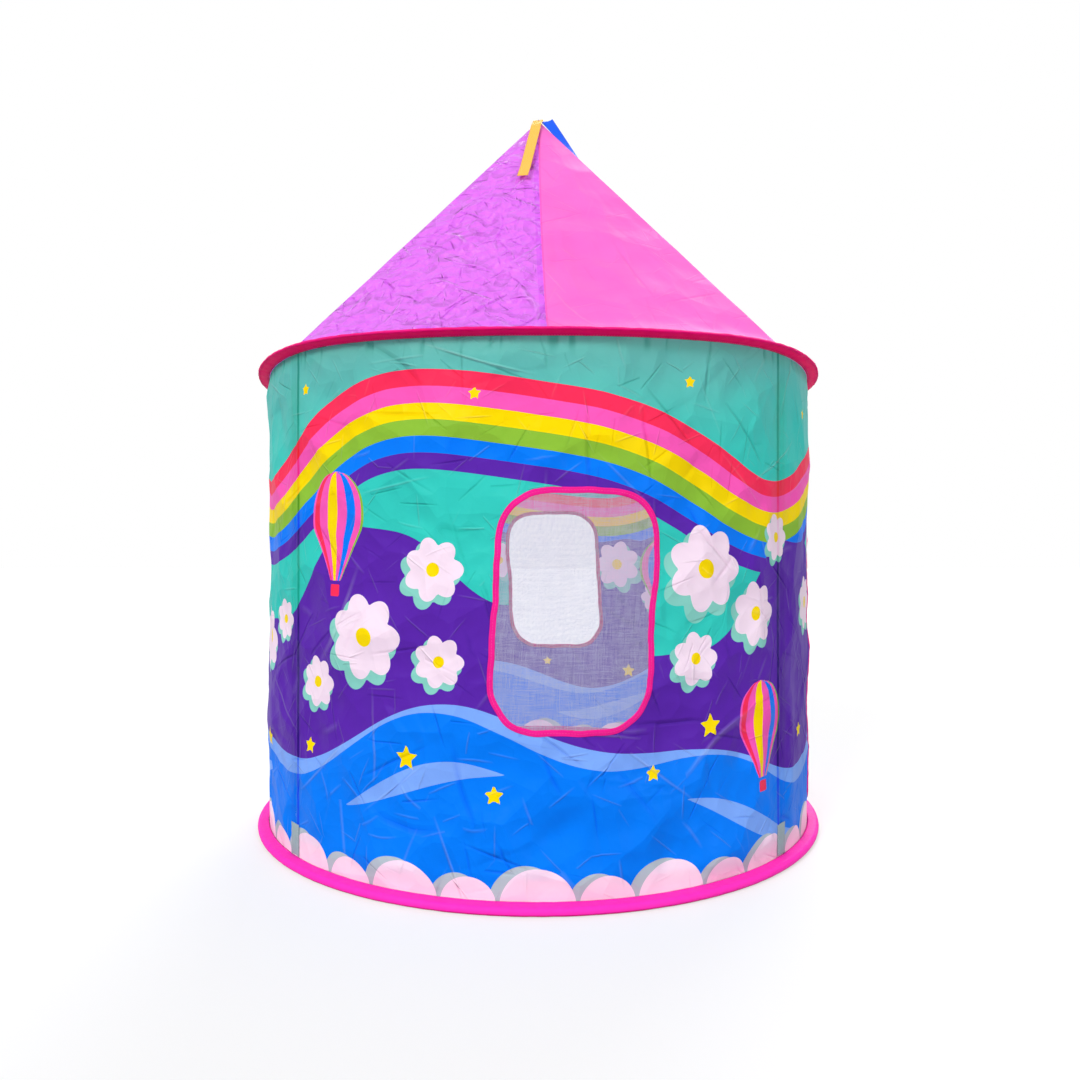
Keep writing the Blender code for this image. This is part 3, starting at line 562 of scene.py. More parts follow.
def polyester(
    finish,
    colour,
    through=0.25,
    large=(6.0, 0.16),
    small=(24.0, 0.10),
    lines=0.9,
    gloss=0.42,
    shine=0.05,
    double_layer_shade=None,
):
    """Thin shiny polyester, lit through from behind, crumpled in facets of two sizes.

    large and small give the facets as (cells per metre, slope), lines is how deep the sharp creases are and
    how strong their painted highlights and painted shade are, and shine how much the cloth mirrors. The last
    argument is the name of a distance kept at the points, the width within which the cloth is double, and how
    much deeper
    its colour is there: painted shade for the light that the double cloth lets through less.
    """
    # Painted shade where the cloth is double, which lets less light through
    if double_layer_shade:
        name, width, deep = double_layer_shade
        colour = finish.deeper(finish.times(finish.near(finish.value(name), 0.0, width), deep), colour)
    ridge = finish.folds(large[0] * 1.1, 0.0026)
    valley = finish.folds(large[0] * 1.4, 0.0032, 3.1)
    pinch = finish.folds(small[0] * 0.9, 0.0017, 5.3)
    tuck = finish.folds(small[0] * 0.7, 0.0020, 7.7)
    # Painted light on the creases: ridges and pinches are painted paler, a painted highlight, and valleys and
    # tucks deeper, a painted shade
    ridge_highlight = finish.math("MULTIPLY_ADD", pinch, 0.05, finish.times(ridge, 0.11))
    colour = finish.mix(finish.times(ridge_highlight, lines), colour, WHITE)
    colour = finish.deeper(finish.times(finish.math("MAXIMUM", valley, tuck), 0.32 * lines), colour)
    normal = finish.bump(finish.cells(large[0] * 1.5), large[1] / (large[0] * 1.5))
    normal = finish.bump(finish.cells(small[0]), small[1] / small[0], normal)
    normal = finish.bump(finish.noise(small[0] * 0.8, 3.0), 0.6 * small[1] / small[0], normal)
    normal = finish.bump(finish.math("SUBTRACT", ridge, valley), 0.0018 * lines, normal)
    normal = finish.bump(finish.math("SUBTRACT", pinch, tuck), 0.0011 * lines, normal)
    normal = finish.bump(finish.noise(1500.0, 1.0), 0.00004, normal)
    front = finish.surface(colour, gloss, normal, {"Specular IOR Level": shine})
    return finish.done(finish.thin(through, front, colour, normal))


def plain_cloth(name, colour, **settings):
    """One colour of polyester, a little deeper in soft patches."""
    finish = Finish(name)
    colour = tuple(colour)
    tint = finish.deeper(finish.times(finish.patches(7.0, 0.38, 0.70), 0.16), colour)
    return polyester(finish, tint, **settings)


def printed_cloth():
    """The walls' print: flat inks laid over each other by the fields kept at the cloth's points, and painted
    shade.
    """
    inks = bpy.context.scene.tent_colours
    finish = Finish("printed_polyester")

    def stripes(shape, names):
        colours = [tuple(getattr(inks, name)) for name in names.split()]
        return finish.stripes(finish.value(shape + "_across"), colours)

    laid = ("hill", "water", "crest", "petal_shade", "petal", "scallop_shade", "scallop")
    layers = [("ribbon", stripes("ribbon", "red rose star leaf water hill"))]
    layers += [(name, tuple(getattr(inks, name))) for name in laid]
    layers += [("balloon", stripes("balloon", "rose red rose star rose water rose leaf"))]
    layers += [("basket", tuple(inks.red)), ("star", tuple(inks.star))]
    # Painted shade: the sky is mixed towards a grey teal near the eave, in patches, for the shade under the
    # eave
    top_shade = finish.times(finish.math("SUBTRACT", finish.value("up"), 0.60), 3.0, clamp=True)
    top_shade = finish.times(top_shade, finish.patches(2.6, 0.26, 0.56))
    colour = finish.mix(top_shade, tuple(inks.sky), (0.22, 0.45, 0.42, 1.0))
    for shape, ink in layers:
        colour = finish.mix(finish.math("LESS_THAN", finish.value(shape + "_field"), 0.0), colour, ink)
    # Painted shade: a deeper strip beside each pole, where the hem's double cloth lets less light through
    hem_shade = finish.near(finish.value("pole_gap"), 0.0095, 0.0034)
    colour = finish.deeper(finish.times(hem_shade, 0.80), colour)
    # Painted shade in the gathers under the eave
    colour = finish.deeper(finish.times(finish.value("gathered"), 0.60), colour)
    # Painted shade within 15 mm of each pole, where the sleeve behind the cloth lets less light through
    return polyester(finish, colour, double_layer_shade=("pole_gap", 0.0150, 0.15))


def tape_cloth(name, colour, stitch_rows=(), rib=0.0011, edge=None, through=0.0):
    """Folded tape: fine ribs across it, puckers, and a row of stitches at each share of its width.

    The UV map runs in metres along the tape and from 0 to 1 across it. edge is a share of the width and the
    colour that the tape has above it; on the eave and foot tapes it parts a painted lit tone from a painted
    shaded one.
    """
    finish = Finish(name)
    along, across = finish.map_spot()
    tint = finish.mix(finish.noise(22.0, 3.0), tuple(colour), darker(colour, 0.90))
    if edge:
        tint = finish.mix(finish.math("GREATER_THAN", across, edge[0]), tint, tuple(edge[1]))
    pucker = finish.noise(85.0, 2.0)
    tint = finish.deeper(finish.times(pucker, 0.25), tint)
    dash = finish.math("LESS_THAN", finish.math("FRACT", finish.math("DIVIDE", along, 0.0042)), 0.68)
    ribs = finish.math("SINE", finish.times(along, 2 * math.pi / rib))
    normal = finish.bump(pucker, 0.0009, finish.bump(ribs, 0.00004))
    for row in stitch_rows:
        stitches = finish.times(finish.near(across, row, 0.014), dash)
        tint = finish.mix(finish.times(stitches, 0.22), tint, (1.0, 0.75, 0.9, 1.0))
        normal = finish.bump(stitches, 0.0004, normal)
    front = finish.surface(tint, 0.5, normal, {"Specular IOR Level": 0.05})
    return finish.done(finish.thin(through, front, tint, normal) if through else front)


def thread_finish():
    """Fine polyester thread of the window nets."""
    finish = Finish("net_thread")
    colour = tuple(bpy.context.scene.tent_colours.net)
    tint = finish.mix(finish.noise(60.0, 2.0), colour, darker(colour, 0.90))
    return finish.done(finish.thin(0.4, finish.surface(tint, 0.6), tint))


def ribbon_finish(name, colour):
    """Woven ribbon with a fine twill and bound edges. The UV map is in metres, across from 0 to 1."""
    finish = Finish(name)
    along, across = finish.map_spot()
    slant = finish.math("ADD", finish.times(along, 3500.0), finish.times(across, 60.0))
    twill = finish.math("SINE", slant)
    edge = finish.math("SUBTRACT", 1.0, finish.near(across, 0.5, 0.44))
    dark = darker(colour, 0.72)
    tint = finish.mix(finish.math("MULTIPLY_ADD", twill, 0.12, 0.15), tuple(colour), dark)
    tint = finish.mix(finish.times(edge, 0.45), tint, dark)
    normal = finish.bump(twill, 0.00012)
    normal = finish.bump(finish.noise(60.0, 2.0), 0.0008, normal)
    return finish.done(finish.surface(tint, 0.45, normal, {"Specular IOR Level": 0.25}))


def rod_finish():
    """Black glass-fibre rod with faint streaks along it."""
    finish = Finish("glass_fibre_rod")
    streaks = finish.noise(420.0, 3.0, stretch=(1.0, 1.0, 0.04))
    tint = finish.mix(streaks, (0.006, 0.006, 0.007, 1.0), (0.030, 0.030, 0.034, 1.0))
    coat = {"Coat Weight": 0.3, "Coat Roughness": 0.2}
    return finish.done(finish.surface(tint, 0.38, finish.bump(streaks, 0.00008), coat))


def steel_finish(name, colour, roughness):
    """Drawn steel, a little uneven in its shine."""
    finish = Finish(name)
    worn = finish.noise(90.0, 4.0)
    rough = finish.math("MULTIPLY_ADD", worn, 0.22, roughness)
    tint = finish.mix(worn, colour, darker(colour, 0.75))
    normal = finish.bump(finish.noise(900.0, 2.0), 0.00003)
    return finish.done(finish.surface(tint, rough, normal, {"Metallic": 1.0}))


def moulded_finish():
    """Black moulded plastic with a fine grain."""
    finish = Finish("moulded_black")
    grain = finish.noise(1100.0, 2.0)
    tint = finish.mix(grain, (0.008, 0.008, 0.009, 1.0), (0.020, 0.020, 0.022, 1.0))
    return finish.done(finish.surface(tint, 0.45, finish.bump(grain, 0.00006)))


# The print, as fields that are negative inside each shape


def flower(across, up, size, petals=7):
    """A flower: a disc whose radius swells and narrows as |cos| of the turn."""
    turn = np.arctan2(up, across)
    return np.hypot(across, up) - size * (0.74 + 0.26 * np.abs(np.cos(petals / 2 * turn)))


def star(across, up, size, points=5):
    """A pointed star: each point's two edges are the straight lines from its tip to the notches beside it."""
    half = math.pi / points
    fold = np.abs((np.arctan2(across, up) + half) % (2 * half) - half)
    reach = np.hypot(across, up) / size
    tip = np.array([1.0, 0.0])
    notch = 0.45 * np.array([math.cos(half), math.sin(half)])
    edge = (notch - tip) / np.hypot(*(notch - tip))
    return size * (edge[1] * (reach * np.cos(fold) - 1.0) - edge[0] * reach * np.sin(fold))


def balloon(across, up, size):
    """A hot-air balloon: a ball that narrows in a straight line to its mouth.

    Gives its field, its half width and its basket's field.
    """
    waist = -0.45 * size
    ball = np.sqrt(np.clip(size**2 - up**2, 0, None))
    start = math.sqrt(size**2 - waist**2)
    mouth = -1.65 * size
    taper = np.interp(up, [mouth, waist], [0.20 * size, start])
    half = np.where(up > waist, ball, taper)
    field = np.maximum(np.abs(across) - half, np.maximum(mouth - up, up - size))
    basket = np.maximum(np.abs(across) - 0.17 * size, np.abs(up - mouth + 0.24 * size) - 0.15 * size)
    return field, half, basket


def print_fields(turn, height):
    """Every shape of the print over the whole wall, as fields that are negative inside it."""
    x = turn * WALL_RADIUS

    def at(degrees, up):
        return wrapped(x - math.radians(degrees) * WALL_RADIUS, ROUND), height - up

    def cosine(times, crest):
        return np.cos(times * (turn - math.radians(crest)))

    hill = 0.440 + 0.085 * cosine(4, -27) + 0.022 * cosine(9, 8) + 0.010 * cosine(17, 3)
    water = 0.215 + 0.052 * cosine(3, -9) + 0.022 * cosine(7, 34)
    lower = water - 0.080 + 0.022 * cosine(5, 12)
    middle = 0.618 + 0.072 * cosine(3, -12) + 0.012 * cosine(7, 20)
    slope = 0.072 * 3 * np.sin(3 * (turn + math.radians(12)))
    slope = (slope + 0.012 * 7 * np.sin(7 * (turn - math.radians(20)))) / WALL_RADIUS
    off = (height - middle) / np.sqrt(1 + slope**2)
    half = 0.070
    fields = {
        "ribbon_field": np.abs(off) - half,
        "ribbon_across": 0.5 - off / (2 * half),
        "hill_field": height - hill,
        "water_field": height - water,
        "crest_field": np.minimum(
            np.maximum(height - water, water - 0.018 - 0.011 * cosine(6, 4) - height),
            np.abs(height - lower) - 0.017 * cosine(6, -20),
        ),
    }

    flowers = [(-17, 0.475, 0.046), (-30, 0.375, 0.064), (-42, 0.300, 0.040), (-16, 0.345, 0.038)]
    flowers += [(29, 0.475, 0.064), (41, 0.405, 0.050), (27, 0.345, 0.040), (48, 0.520, 0.036)]
    for k in range(22):
        size = 0.046 + 0.014 * math.sin(1.7 * k)
        flowers.append((66 + 11.4 * k, 0.41 + 0.075 * math.sin(2.4 * k) + 0.035 * math.sin(1.1 * k), size))
    eyes, petals, shades = [], [], []
    for degrees, up, size in flowers:
        across, rise = at(degrees, up)
        petals.append(flower(across, rise, size))
        shades.append(flower(across + 0.15 * size, rise + 0.20 * size, size * 1.05))
        eyes.append(np.hypot(across, rise) - 0.22 * size)

    stars = [(-22, 0.205, 0.020), (-44, 0.200, 0.015), (-7, 0.160, 0.016)]
    stars += [(19, 0.185, 0.014), (30, 0.245, 0.020)]
    for k in range(11):
        stars.append((60 + 23.5 * k, 0.20 + 0.05 * math.sin(3.1 * k), 0.015 + 0.004 * math.sin(2.0 * k)))
    stars += [(-46 + 36 * k, 0.74 - 0.02 * (k % 2), 0.011) for k in range(10)]
    eyes += [star(*at(degrees, up), size) for degrees, up, size in stars]

    humps, hump_shades, count = [], [], 32
    for k in range(count):
        size = (0.054, 0.041)[k % 2]
        across, rise = at(360 / count * k, 0.006)
        humps.append(np.hypot(across, rise) - size)
        hump_shades.append(np.hypot(across + 0.16 * ROUND / count, rise - 0.004) - size)

    balloons, halves, baskets = [], [], []
    places = [(-37, 0.555, 0.060), (43, 0.245, 0.056), (-98, 0.47, 0.085)]
    places += [(-156, 0.62, 0.060), (142, 0.45, 0.075)]
    for degrees, up, size in places:
        across, rise = at(degrees, up)
        field, wide, basket = balloon(across, rise, size)
        balloons.append(field)
        halves.append(0.5 + np.arcsin(np.clip(across / np.maximum(wide, 0.002), -1, 1)) / math.pi)
        baskets.append(basket)
    nearest = np.argmin(balloons, axis=0)[None]
    fields.update(
        petal_field=np.min(petals, axis=0),
        petal_shade_field=np.min(shades, axis=0),
        star_field=np.min(eyes, axis=0),
        scallop_field=np.min(humps, axis=0),
        scallop_shade_field=np.min(hump_shades, axis=0),
        balloon_field=np.min(balloons, axis=0),
        balloon_across=np.take_along_axis(np.array(halves), nearest, axis=0)[0],
        basket_field=np.min(baskets, axis=0),
    )
    return fields


# Pieces


def wall_cloth(side, first, last, step):
    """A wall panel from pole to pole: a grid over (turn, height), without the quads inside an opening."""
    wide, foot = math.radians(last - first) * WALL_RADIUS, 0.0014
    columns, rows = round(wide / step) + 1, round(WALL_TOP / step) + 1
    height, turn = grid(np.linspace(foot, WALL_TOP, rows), np.radians(np.linspace(first, last, columns)))
    field = np.ones_like(turn)
    if side in WINDOWS:
        field = window_field(turn, height, side)
    if side == "right":
        field = door_field(turn, height)
    faces = grid_faces(rows, columns)
    faces = faces[field.reshape(-1)[faces].max(axis=1) > -TUCK]
    marks = print_fields(turn, height)
    marks["pole_gap"] = pole_distance(turn) * (1 if side in WINDOWS else -1)
    # Where the wall is painted in shade in its gathers
    marks["gathered"] = gathers(turn, height)
    marks["up"] = height
    points = wall_points(turn, height)
    piece = mesh_piece("wall_cloth_" + side, points, faces, "base", "printed_polyester", marks)
    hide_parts("wall_" + side)
    crumple(piece)


def opening_tape(name, node, degrees, size, corner, middle, leaning=0.0):
    """Tape folded over an opening's edge: an oval section carried along the outline, wandering a little."""
    steps, ring, width, thick, overhang = 900, 18, 0.0090, 0.0026, 0.0009
    line, length = opening_line(size, corner, middle, width / 2 - overhang, steps)
    ahead = np.roll(line, -1, axis=0) - np.roll(line, 1, axis=0)
    ahead /= np.hypot(*ahead.T)[:, None]
    outward = np.stack([ahead[:, 1], -ahead[:, 0]], axis=-1)
    share = np.arange(steps) / steps
    level = np.zeros(steps)
    wander = 0.0010 * round_noise(share, level, 40, 41) + 0.0026 * round_noise(share, level, 15, 43)
    pucker = (1 + 0.30 * round_noise(share, level, 150, 47))[:, None]
    oval_x, oval_y = (squarish(wave(circle(ring)), 0.6) for wave in (np.cos, np.sin))
    side = wander[:, None] + width / 2 * (0.96 + 0.04 * pucker) * oval_x
    flat = line[:, None, :] + outward[:, None, :] * side[..., None]
    out = thick / 2 * pucker * oval_y
    turn = math.radians(degrees) + (flat[..., 0] + leaning * lean(flat[..., 1])) / WALL_RADIUS
    points = wall_points(turn, flat[..., 1], out)
    faces = grid_faces(steps, ring, True, True)
    uv = grid(share * length, (oval_x + 1) / 2)
    piece = mesh_piece(name, points, faces, "base", "opening_tape", uv=uv)
    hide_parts(node)
    crumple(piece)


def window_net(side):
    """A window's net: upright and level threads as flat strips on the wall, cut to the window's outline.

    Away from its edge the net is drawn flat, at a fifth of the wall's relief.
    """
    sizes = bpy.context.scene.tent_sizes
    pitch, thread, sample = sizes.net_pitch, sizes.net_thread, 0.0060
    over, waver = 0.0002, 0.00025
    half_w, half_h = WINDOW_SIZE[0] / 2 - TUCK, WINDOW_SIZE[1] / 2 - TUCK
    corner = WINDOW_CORNER - TUCK

    def reach(at, across, along):
        """Half the length of a thread that lies at some distance from the window's middle."""
        into = np.clip(np.abs(at) - (across - corner), 0, corner)
        return along - corner + np.sqrt(corner**2 - into**2)

    points, faces, count = [], [], 0
    for upright in (True, False):
        across, along = (half_w, half_h) if upright else (half_h, half_w)
        lines = np.arange(-across + pitch, across - pitch / 2, pitch)
        samples = round(2 * along / sample) + 1
        t = np.linspace(-1, 1, samples)[None, :, None] * reach(lines, across, along)[:, None, None]
        edge = lines[:, None, None] + np.array([-0.5, 0.5])[None, None, :] * thread
        edge = edge + waver * noise(t * 60, edge * 900, 61)
        t, edge = np.broadcast_arrays(t, edge)
        x, z = (edge, t) if upright else (t, edge)
        height = WINDOW_MIDDLE + z
        turn = math.radians(WINDOWS[side]) + (x + lean(height)) / WALL_RADIUS
        calm = 0.8 * ease(0.004, 0.030, -window_field(turn, height, side)) * wall_relief(turn, height)
        points.append(wall_points(turn, height, (over if upright else -over) - calm).reshape(-1, 3))
        start = count + np.arange(len(lines))[:, None, None] * samples * 2
        faces.append((start + grid_faces(samples, 2)[None]).reshape(-1, 4))
        count += len(points[-1])
    points, faces = np.concatenate(points), np.concatenate(faces)
    piece = mesh_piece("net_" + side, points, faces, "base", "net_thread")
    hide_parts("window_net_" + side)
    crumple(piece)


def curtain_lean(along):
    """How far an open curtain leans towards the wall: 0.14 (along - 4 mm), from 0 to 10 mm.

    The same lean keeps the curtain off the wall when it is swung across the doorway.
    """
    return np.clip(0.14 * (along - 0.004), 0.0, 0.010)


def curtain(side, sign):
    """A door curtain tied back: a sheet from its sewn edge, pleated in waves and drawn in at the tie."""
    hinge_turn = math.radians(DOOR_TURN) + sign * CURTAIN_TURN
    hinge_radius, wide, low, tie, tie_reach = 0.5027, 0.198, 0.060, 0.262, 0.13
    spring, arch_rise, drawn_in = 0.372, 0.196, 0.50
    hinge = hinge_radius * np.array([math.sin(hinge_turn), -math.cos(hinge_turn)])
    rows, columns = 150, 90
    up, share = grid(np.linspace(0, 1, rows), np.linspace(0, 1, columns))
    arch = spring + arch_rise * np.sqrt(np.clip(1 - (1 - share) ** 2, 0, 1))
    height = low + (arch - low) * up
    waist = np.exp(-(((height - tie) / tie_reach) ** 2))
    spread = 1 - drawn_in * waist
    chord = hinge_turn + sign * (CURTAIN_TURN / 2 + math.radians(13))
    away = np.array([math.cos(chord), math.sin(chord)]) * sign
    face = np.array([away[1], -away[0]])
    if np.dot(face, hinge) > 0:
        face = -face
    along = wide * share * spread
    fold = np.clip(0.16 * (along - 0.006), 0.0, 0.004 + 0.005 * waist)
    fold = fold * (1 - 0.6 * waist * ease(0.8, 1.0, share))
    depth = fold * np.sin(2 * np.pi * (4.5 * share + 0.25 * noise(height / 0.2, share, 71)))
    depth = depth + 0.003 * (1 - 0.7 * waist) * noise(share * 5, height / 0.09, 73) * ease(0.05, 0.25, share)
    flat = hinge + away * along[..., None] + face * (depth - curtain_lean(along))[..., None]
    points = np.concatenate([flat, height[..., None]], axis=-1)
    body, faces = "curtain_" + side, grid_faces(rows, columns)
    piece = mesh_piece("curtain_cloth_" + side, points, faces, body, "curtain_polyester")
    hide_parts("door_curtain_" + side)
    crumple(piece)

    rows, ring, half, length, thickness = 12, 64, 0.007, 0.14, 0.0010
    rise, turn = grid(np.linspace(tie - half, tie + half, rows), circle(ring))
    loop_along = 0.0545 + 0.0525 * np.cos(turn)
    room = 0.0008 + 0.16 * np.maximum(loop_along - 0.006, 0.0)
    loop_face = np.clip(0.0115 * np.sin(turn), -room, room) - curtain_lean(loop_along)
    loop = hinge + away * loop_along[..., None] + face * loop_face[..., None]
    points = np.concatenate([loop, rise[..., None]], axis=-1)
    faces = grid_faces(rows, ring, False, True)
    uv = np.meshgrid(np.arange(ring) / ring * length, np.linspace(0, 1, rows))
    band = mesh_piece("curtain_tie_" + side, points, faces, body, "opening_tape", uv=uv)
    thicken(band, thickness)
    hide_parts("door_tie_" + side)
    crumple(band)


def sag(turn, share):
    """How far the roof cloth draws in between its ribs: 1 on a rib, and less on the line between two ribs."""
    folded = np.abs(wrapped(np.degrees(turn), 360.0))
    side = (folded > 50) & (folded < 130)
    half = np.where(side, 40.0, 50.0)
    off = np.where(side, np.abs(folded - 90), np.minimum(folded, 180 - folded))
    chord = np.cos(np.radians(half)) / np.cos(np.radians(off))
    amount = np.where(side, 0.80, 0.50)
    weight = amount * (1 - share**30) * np.clip(share / 0.15, 0, 1)
    return 1 - weight * (1 - chord)


def seam_distance(turn, share):
    """Distance on the roof from the nearest seam. The seams bend a little to one side as they go down."""
    gap = np.abs(wrapped(turn - SEAM_BEND * share, math.pi / 2))
    return gap * bpy.context.scene.tent_sizes.roof_rim * share


def roof_slope():
    """The roof's radius at the eave, its length down the slope and the slope's angle."""
    rim, rise = bpy.context.scene.tent_sizes.roof_rim, PEAK_HEIGHT - ROOF_RIM_HEIGHT
    return rim, math.hypot(rim, rise), math.atan2(rise, rim)


def roof_points(turn, share):
    """Points on the roof: a cone from the tip (share 0) to the eave (share 1), drawn in between the ribs.

    Its creases are laid out on the cone's flat pattern: slant length is the radius, and the turn is shrunk.
    """
    rim, slant, angle = roof_slope()
    rim_height = ROOF_RIM_HEIGHT + eave_lift(turn)
    radius = rim * share * sag(turn, share)
    height = PEAK_HEIGHT - (PEAK_HEIGHT - rim_height) * share
    flat_turn = turn * rim / slant
    x, y = share * slant * np.cos(flat_turn), share * slant * np.sin(flat_turn)
    span = (-slant, slant)
    soft = 0.0030 * noise(x / 0.19, y / 0.19, 81) + 0.0010 * noise(x / 0.07, y / 0.07, 83)
    bend = 0.008 * noise(x / 0.04, y / 0.04, 89)
    busy = np.where(np.sin(2 * turn) < 0, 1.0, 0.35)
    broad = FACET_SLOPE * facets(x + bend, y + bend, 620, 97, span, span) * busy
    wrinkle = np.sin((x * 0.35 + y) / 0.016 + 5 * noise(x / 0.12, y / 0.12, 79))
    wrinkle = wrinkle * np.clip(noise(x / 0.16, y / 0.16, 77), 0, 1)
    fan = 0.0012 * noise(flat_turn * 16, share * 3, 87) * ease(0.1, 0.5, share)
    packed = creases(x, y, 300, 91, span, span, 0.0026) * busy
    gather = 0.0010 * noise(turn * 26, share * 9, 93) * np.exp(-(1 - share) / 0.06)
    seam = seam_distance(turn, share)
    rib = pole_distance(turn) / WALL_RADIUS * rim * share
    held = ease(0.0, 0.030, seam) * ease(-0.004, 0.045, rib)
    held = held * ease(0.0, 0.04, 1 - share) * ease(0.03, 0.12, share)
    relief = (soft + broad + 0.0012 * wrinkle + fan + packed + gather - 0.0014) * held
    relief = relief - 0.0007 * np.exp(-((seam / 0.0030) ** 2)) * ease(0.03, 0.06, share)
    return around(turn, radius + relief * math.sin(angle), height + relief * math.cos(angle))


def roof_cloth(side, first, colour):
    """A quarter of the roof between two seams, as a grid over (share down, turn)."""
    rows, columns, tip_share = 176, 180, 0.0196
    share, turn = grid(np.linspace(1.0, tip_share, rows), np.radians(np.linspace(first, first + 90, columns)))
    turn = turn + SEAM_BEND * share
    points, faces = roof_points(turn, share), grid_faces(rows, columns)
    marks, cloth = {"seam_gap": seam_distance(turn, share)}, colour + "_polyester"
    piece = mesh_piece("roof_cloth_" + side, points, faces, "roof", cloth, marks)
    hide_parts("roof_" + side)


def ring_piece(name, profile, steps, body, slot, finish, lifted=False, pucker=0.0, seed=0, uv_across=None):
    """A ring: a closed profile of (radius, height) turned round the tent, puckered along its length."""
    count = len(profile)
    turn = circle(steps)[:, None]
    share = turn / (2 * np.pi)
    ahead = np.roll(profile, -1, axis=0) - np.roll(profile, 1, axis=0)
    normal = np.stack([ahead[:, 1], -ahead[:, 0]], axis=-1) / np.hypot(*ahead.T)[:, None]
    spot = np.arange(count) / count
    wave = pucker * round_noise(share, spot[None] * 3, 210, seed)
    wave = wave + 0.5 * pucker * round_noise(share, spot[None] * 2, 60, seed + 2)
    turn = turn - np.pi
    radius = profile[None, :, 0] + normal[None, :, 0] * wave
    height = profile[None, :, 1] + normal[None, :, 1] * wave
    if lifted:
        height = height + eave_lift(turn)
    uv = grid(np.arange(steps) / steps * ROUND, spot if uv_across is None else uv_across)
    faces = grid_faces(steps, count, True, True)
    return mesh_piece(name, around(turn, radius, height), faces, body, finish, uv=uv)


def arc(middle, radius, first, last, count):
    """Points of an arc in (radius, height), its turns in degrees."""
    turns = np.radians(np.linspace(first, last, count))
    return np.stack([middle[0] + radius * np.cos(turns), middle[1] + radius * np.sin(turns)], axis=-1)


def straight(corners, counts):
    """Points evenly spaced on straight lines from corner to corner, without the last corner."""
    line = []
    for start, end, count in zip(corners, corners[1:], counts):
        share = np.linspace(0, 1, count, endpoint=False)[:, None]
        line.append(np.array(start) * (1 - share) + np.array(end) * share)
    return np.concatenate(line)


def pole_local(degrees, along, radius, height):
    """Points given along the wall, in radius and in height beside a pole."""
    turn = math.radians(degrees)
    x = along * math.cos(turn) + radius * math.sin(turn)
    y = along * math.sin(turn) - radius * math.cos(turn)
    return np.stack([x, y, height], axis=-1)


def pole_sleeve(side, degrees):
    """A pole's sleeve: two flat flanges on the wall and a half tube between them, carried up the pole."""
    edge, bore, foot, length, rows, wall_side = 0.0200, 0.0078, 0.082, 0.686, 190, 0.5030
    flange = np.linspace(edge, bore, 7)
    on_wall = np.full(len(flange), wall_side)
    spin = np.linspace(0, math.pi, 15)[1:-1]
    along = np.concatenate([-flange, -bore * np.cos(spin), flange[::-1]])
    depth = np.concatenate([on_wall, POLE_RADIUS - bore * np.sin(spin), on_wall])
    height, along = grid(np.linspace(foot, foot + length, rows), along)
    tube = np.clip(1 - np.abs(along) / 0.0085, 0, 1)
    loose = (0.0010 + 0.0010 * noise(height / 0.028, along * 90, 101 + degrees)) * tube
    points = pole_local(degrees, along, depth[None, :] - loose, height)
    faces = grid_faces(rows, along.shape[1])
    piece = mesh_piece("sleeve_" + side, points, faces, "base", "sleeve_polyester")
    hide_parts("pole_sleeve_" + side)
    crumple(piece)


def pole_pocket(side, degrees):
    """A pole's foot pocket: a cup with a flat back, as loops under it, up its outside and down its bore.

    Each loop is a section, the middle that it is scaled about, its scale and its height.
    """
    steps = 40
    cos, sin = np.cos(circle(steps)), np.sin(circle(steps))
    middle, axis = np.array([0.0, 0.4962]), np.array([0.0, POLE_RADIUS])
    shell = np.stack([0.0115 * squarish(cos, 0.8), 0.0054 * squarish(sin, 0.9)], axis=-1) + middle, middle
    bore = np.stack([0.0046 * cos, 0.0046 * sin], axis=-1) + axis, axis
    loops = [(*shell, 0.02, 0.0172), (*shell, 0.96, 0.0172), (*shell, 1.0, 0.0182)]
    loops += [(*shell, 1.0 + 0.03 * math.sin(7 * k), 0.0182 + 0.0058 * k) for k in range(1, 10)]
    loops += [(*shell, 0.97, 0.0745), (*bore, 1.08, 0.0750), (*bore, 1.0, 0.0735)]
    loops += [(*bore, 1.0, 0.0190), (*bore, 0.02, 0.0188)]
    flat = np.stack([(section - about) * scale + about for section, about, scale, _ in loops])
    height = np.broadcast_to(np.array([loop[-1] for loop in loops])[:, None], flat.shape[:2])
    points = pole_local(degrees, flat[..., 0], flat[..., 1], height)
    faces, caps = grid_faces(len(loops), steps, False, True), end_caps(len(loops), steps)
    name = "foot_pocket_" + side
    piece = mesh_piece(name, points, faces, "base", "sleeve_polyester", caps=caps)
    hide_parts("pocket_bottom_" + side)
    crumple(piece)


def foot_patches():
    """The patches sewn outside the wall over the poles' feet: a grid each, that bellies out over its pole."""
    half, low, high, seat, bulge, clear = 0.0145, 0.0165, 0.0660, 0.5056, 0.0012, 0.0004
    rows, columns, count = 48, 22, len(POLE_TURNS)
    up, across = grid(np.linspace(0, 1, rows), np.linspace(-1, 1, columns))
    points, faces = [], []
    for k, degrees in enumerate(POLE_TURNS.values()):
        off = across * (0.94 + 0.06 * noise(up * 9, up * 0, 135 + k)) * half / WALL_RADIUS
        turn = math.radians(degrees) + off
        height = low + (high - low) * up + 0.0012 * noise(across * 2, up * 3, 131 + k)
        belly = (1 - across**2) * np.sin(np.pi * up) ** 0.5
        radius = seat + bulge * belly + 0.0004 * noise(across * 4, up * 14, 133 + k) * belly
        under = wall_points(turn, height)
        radius = np.maximum(radius, np.hypot(under[..., 0], under[..., 1]) + clear)
        points.append(around(turn, radius, height))
        faces.append(grid_faces(rows, columns) + k * rows * columns)
    uv = [np.tile(spots, (count, 1)) for spots in (up * (high - low), (across + 1) / 2)]
    points, faces = np.concatenate(points), np.concatenate(faces)
    piece = mesh_piece("foot_patches", points, faces, "base", "patch_webbing", uv=uv)
    crumple(piece)


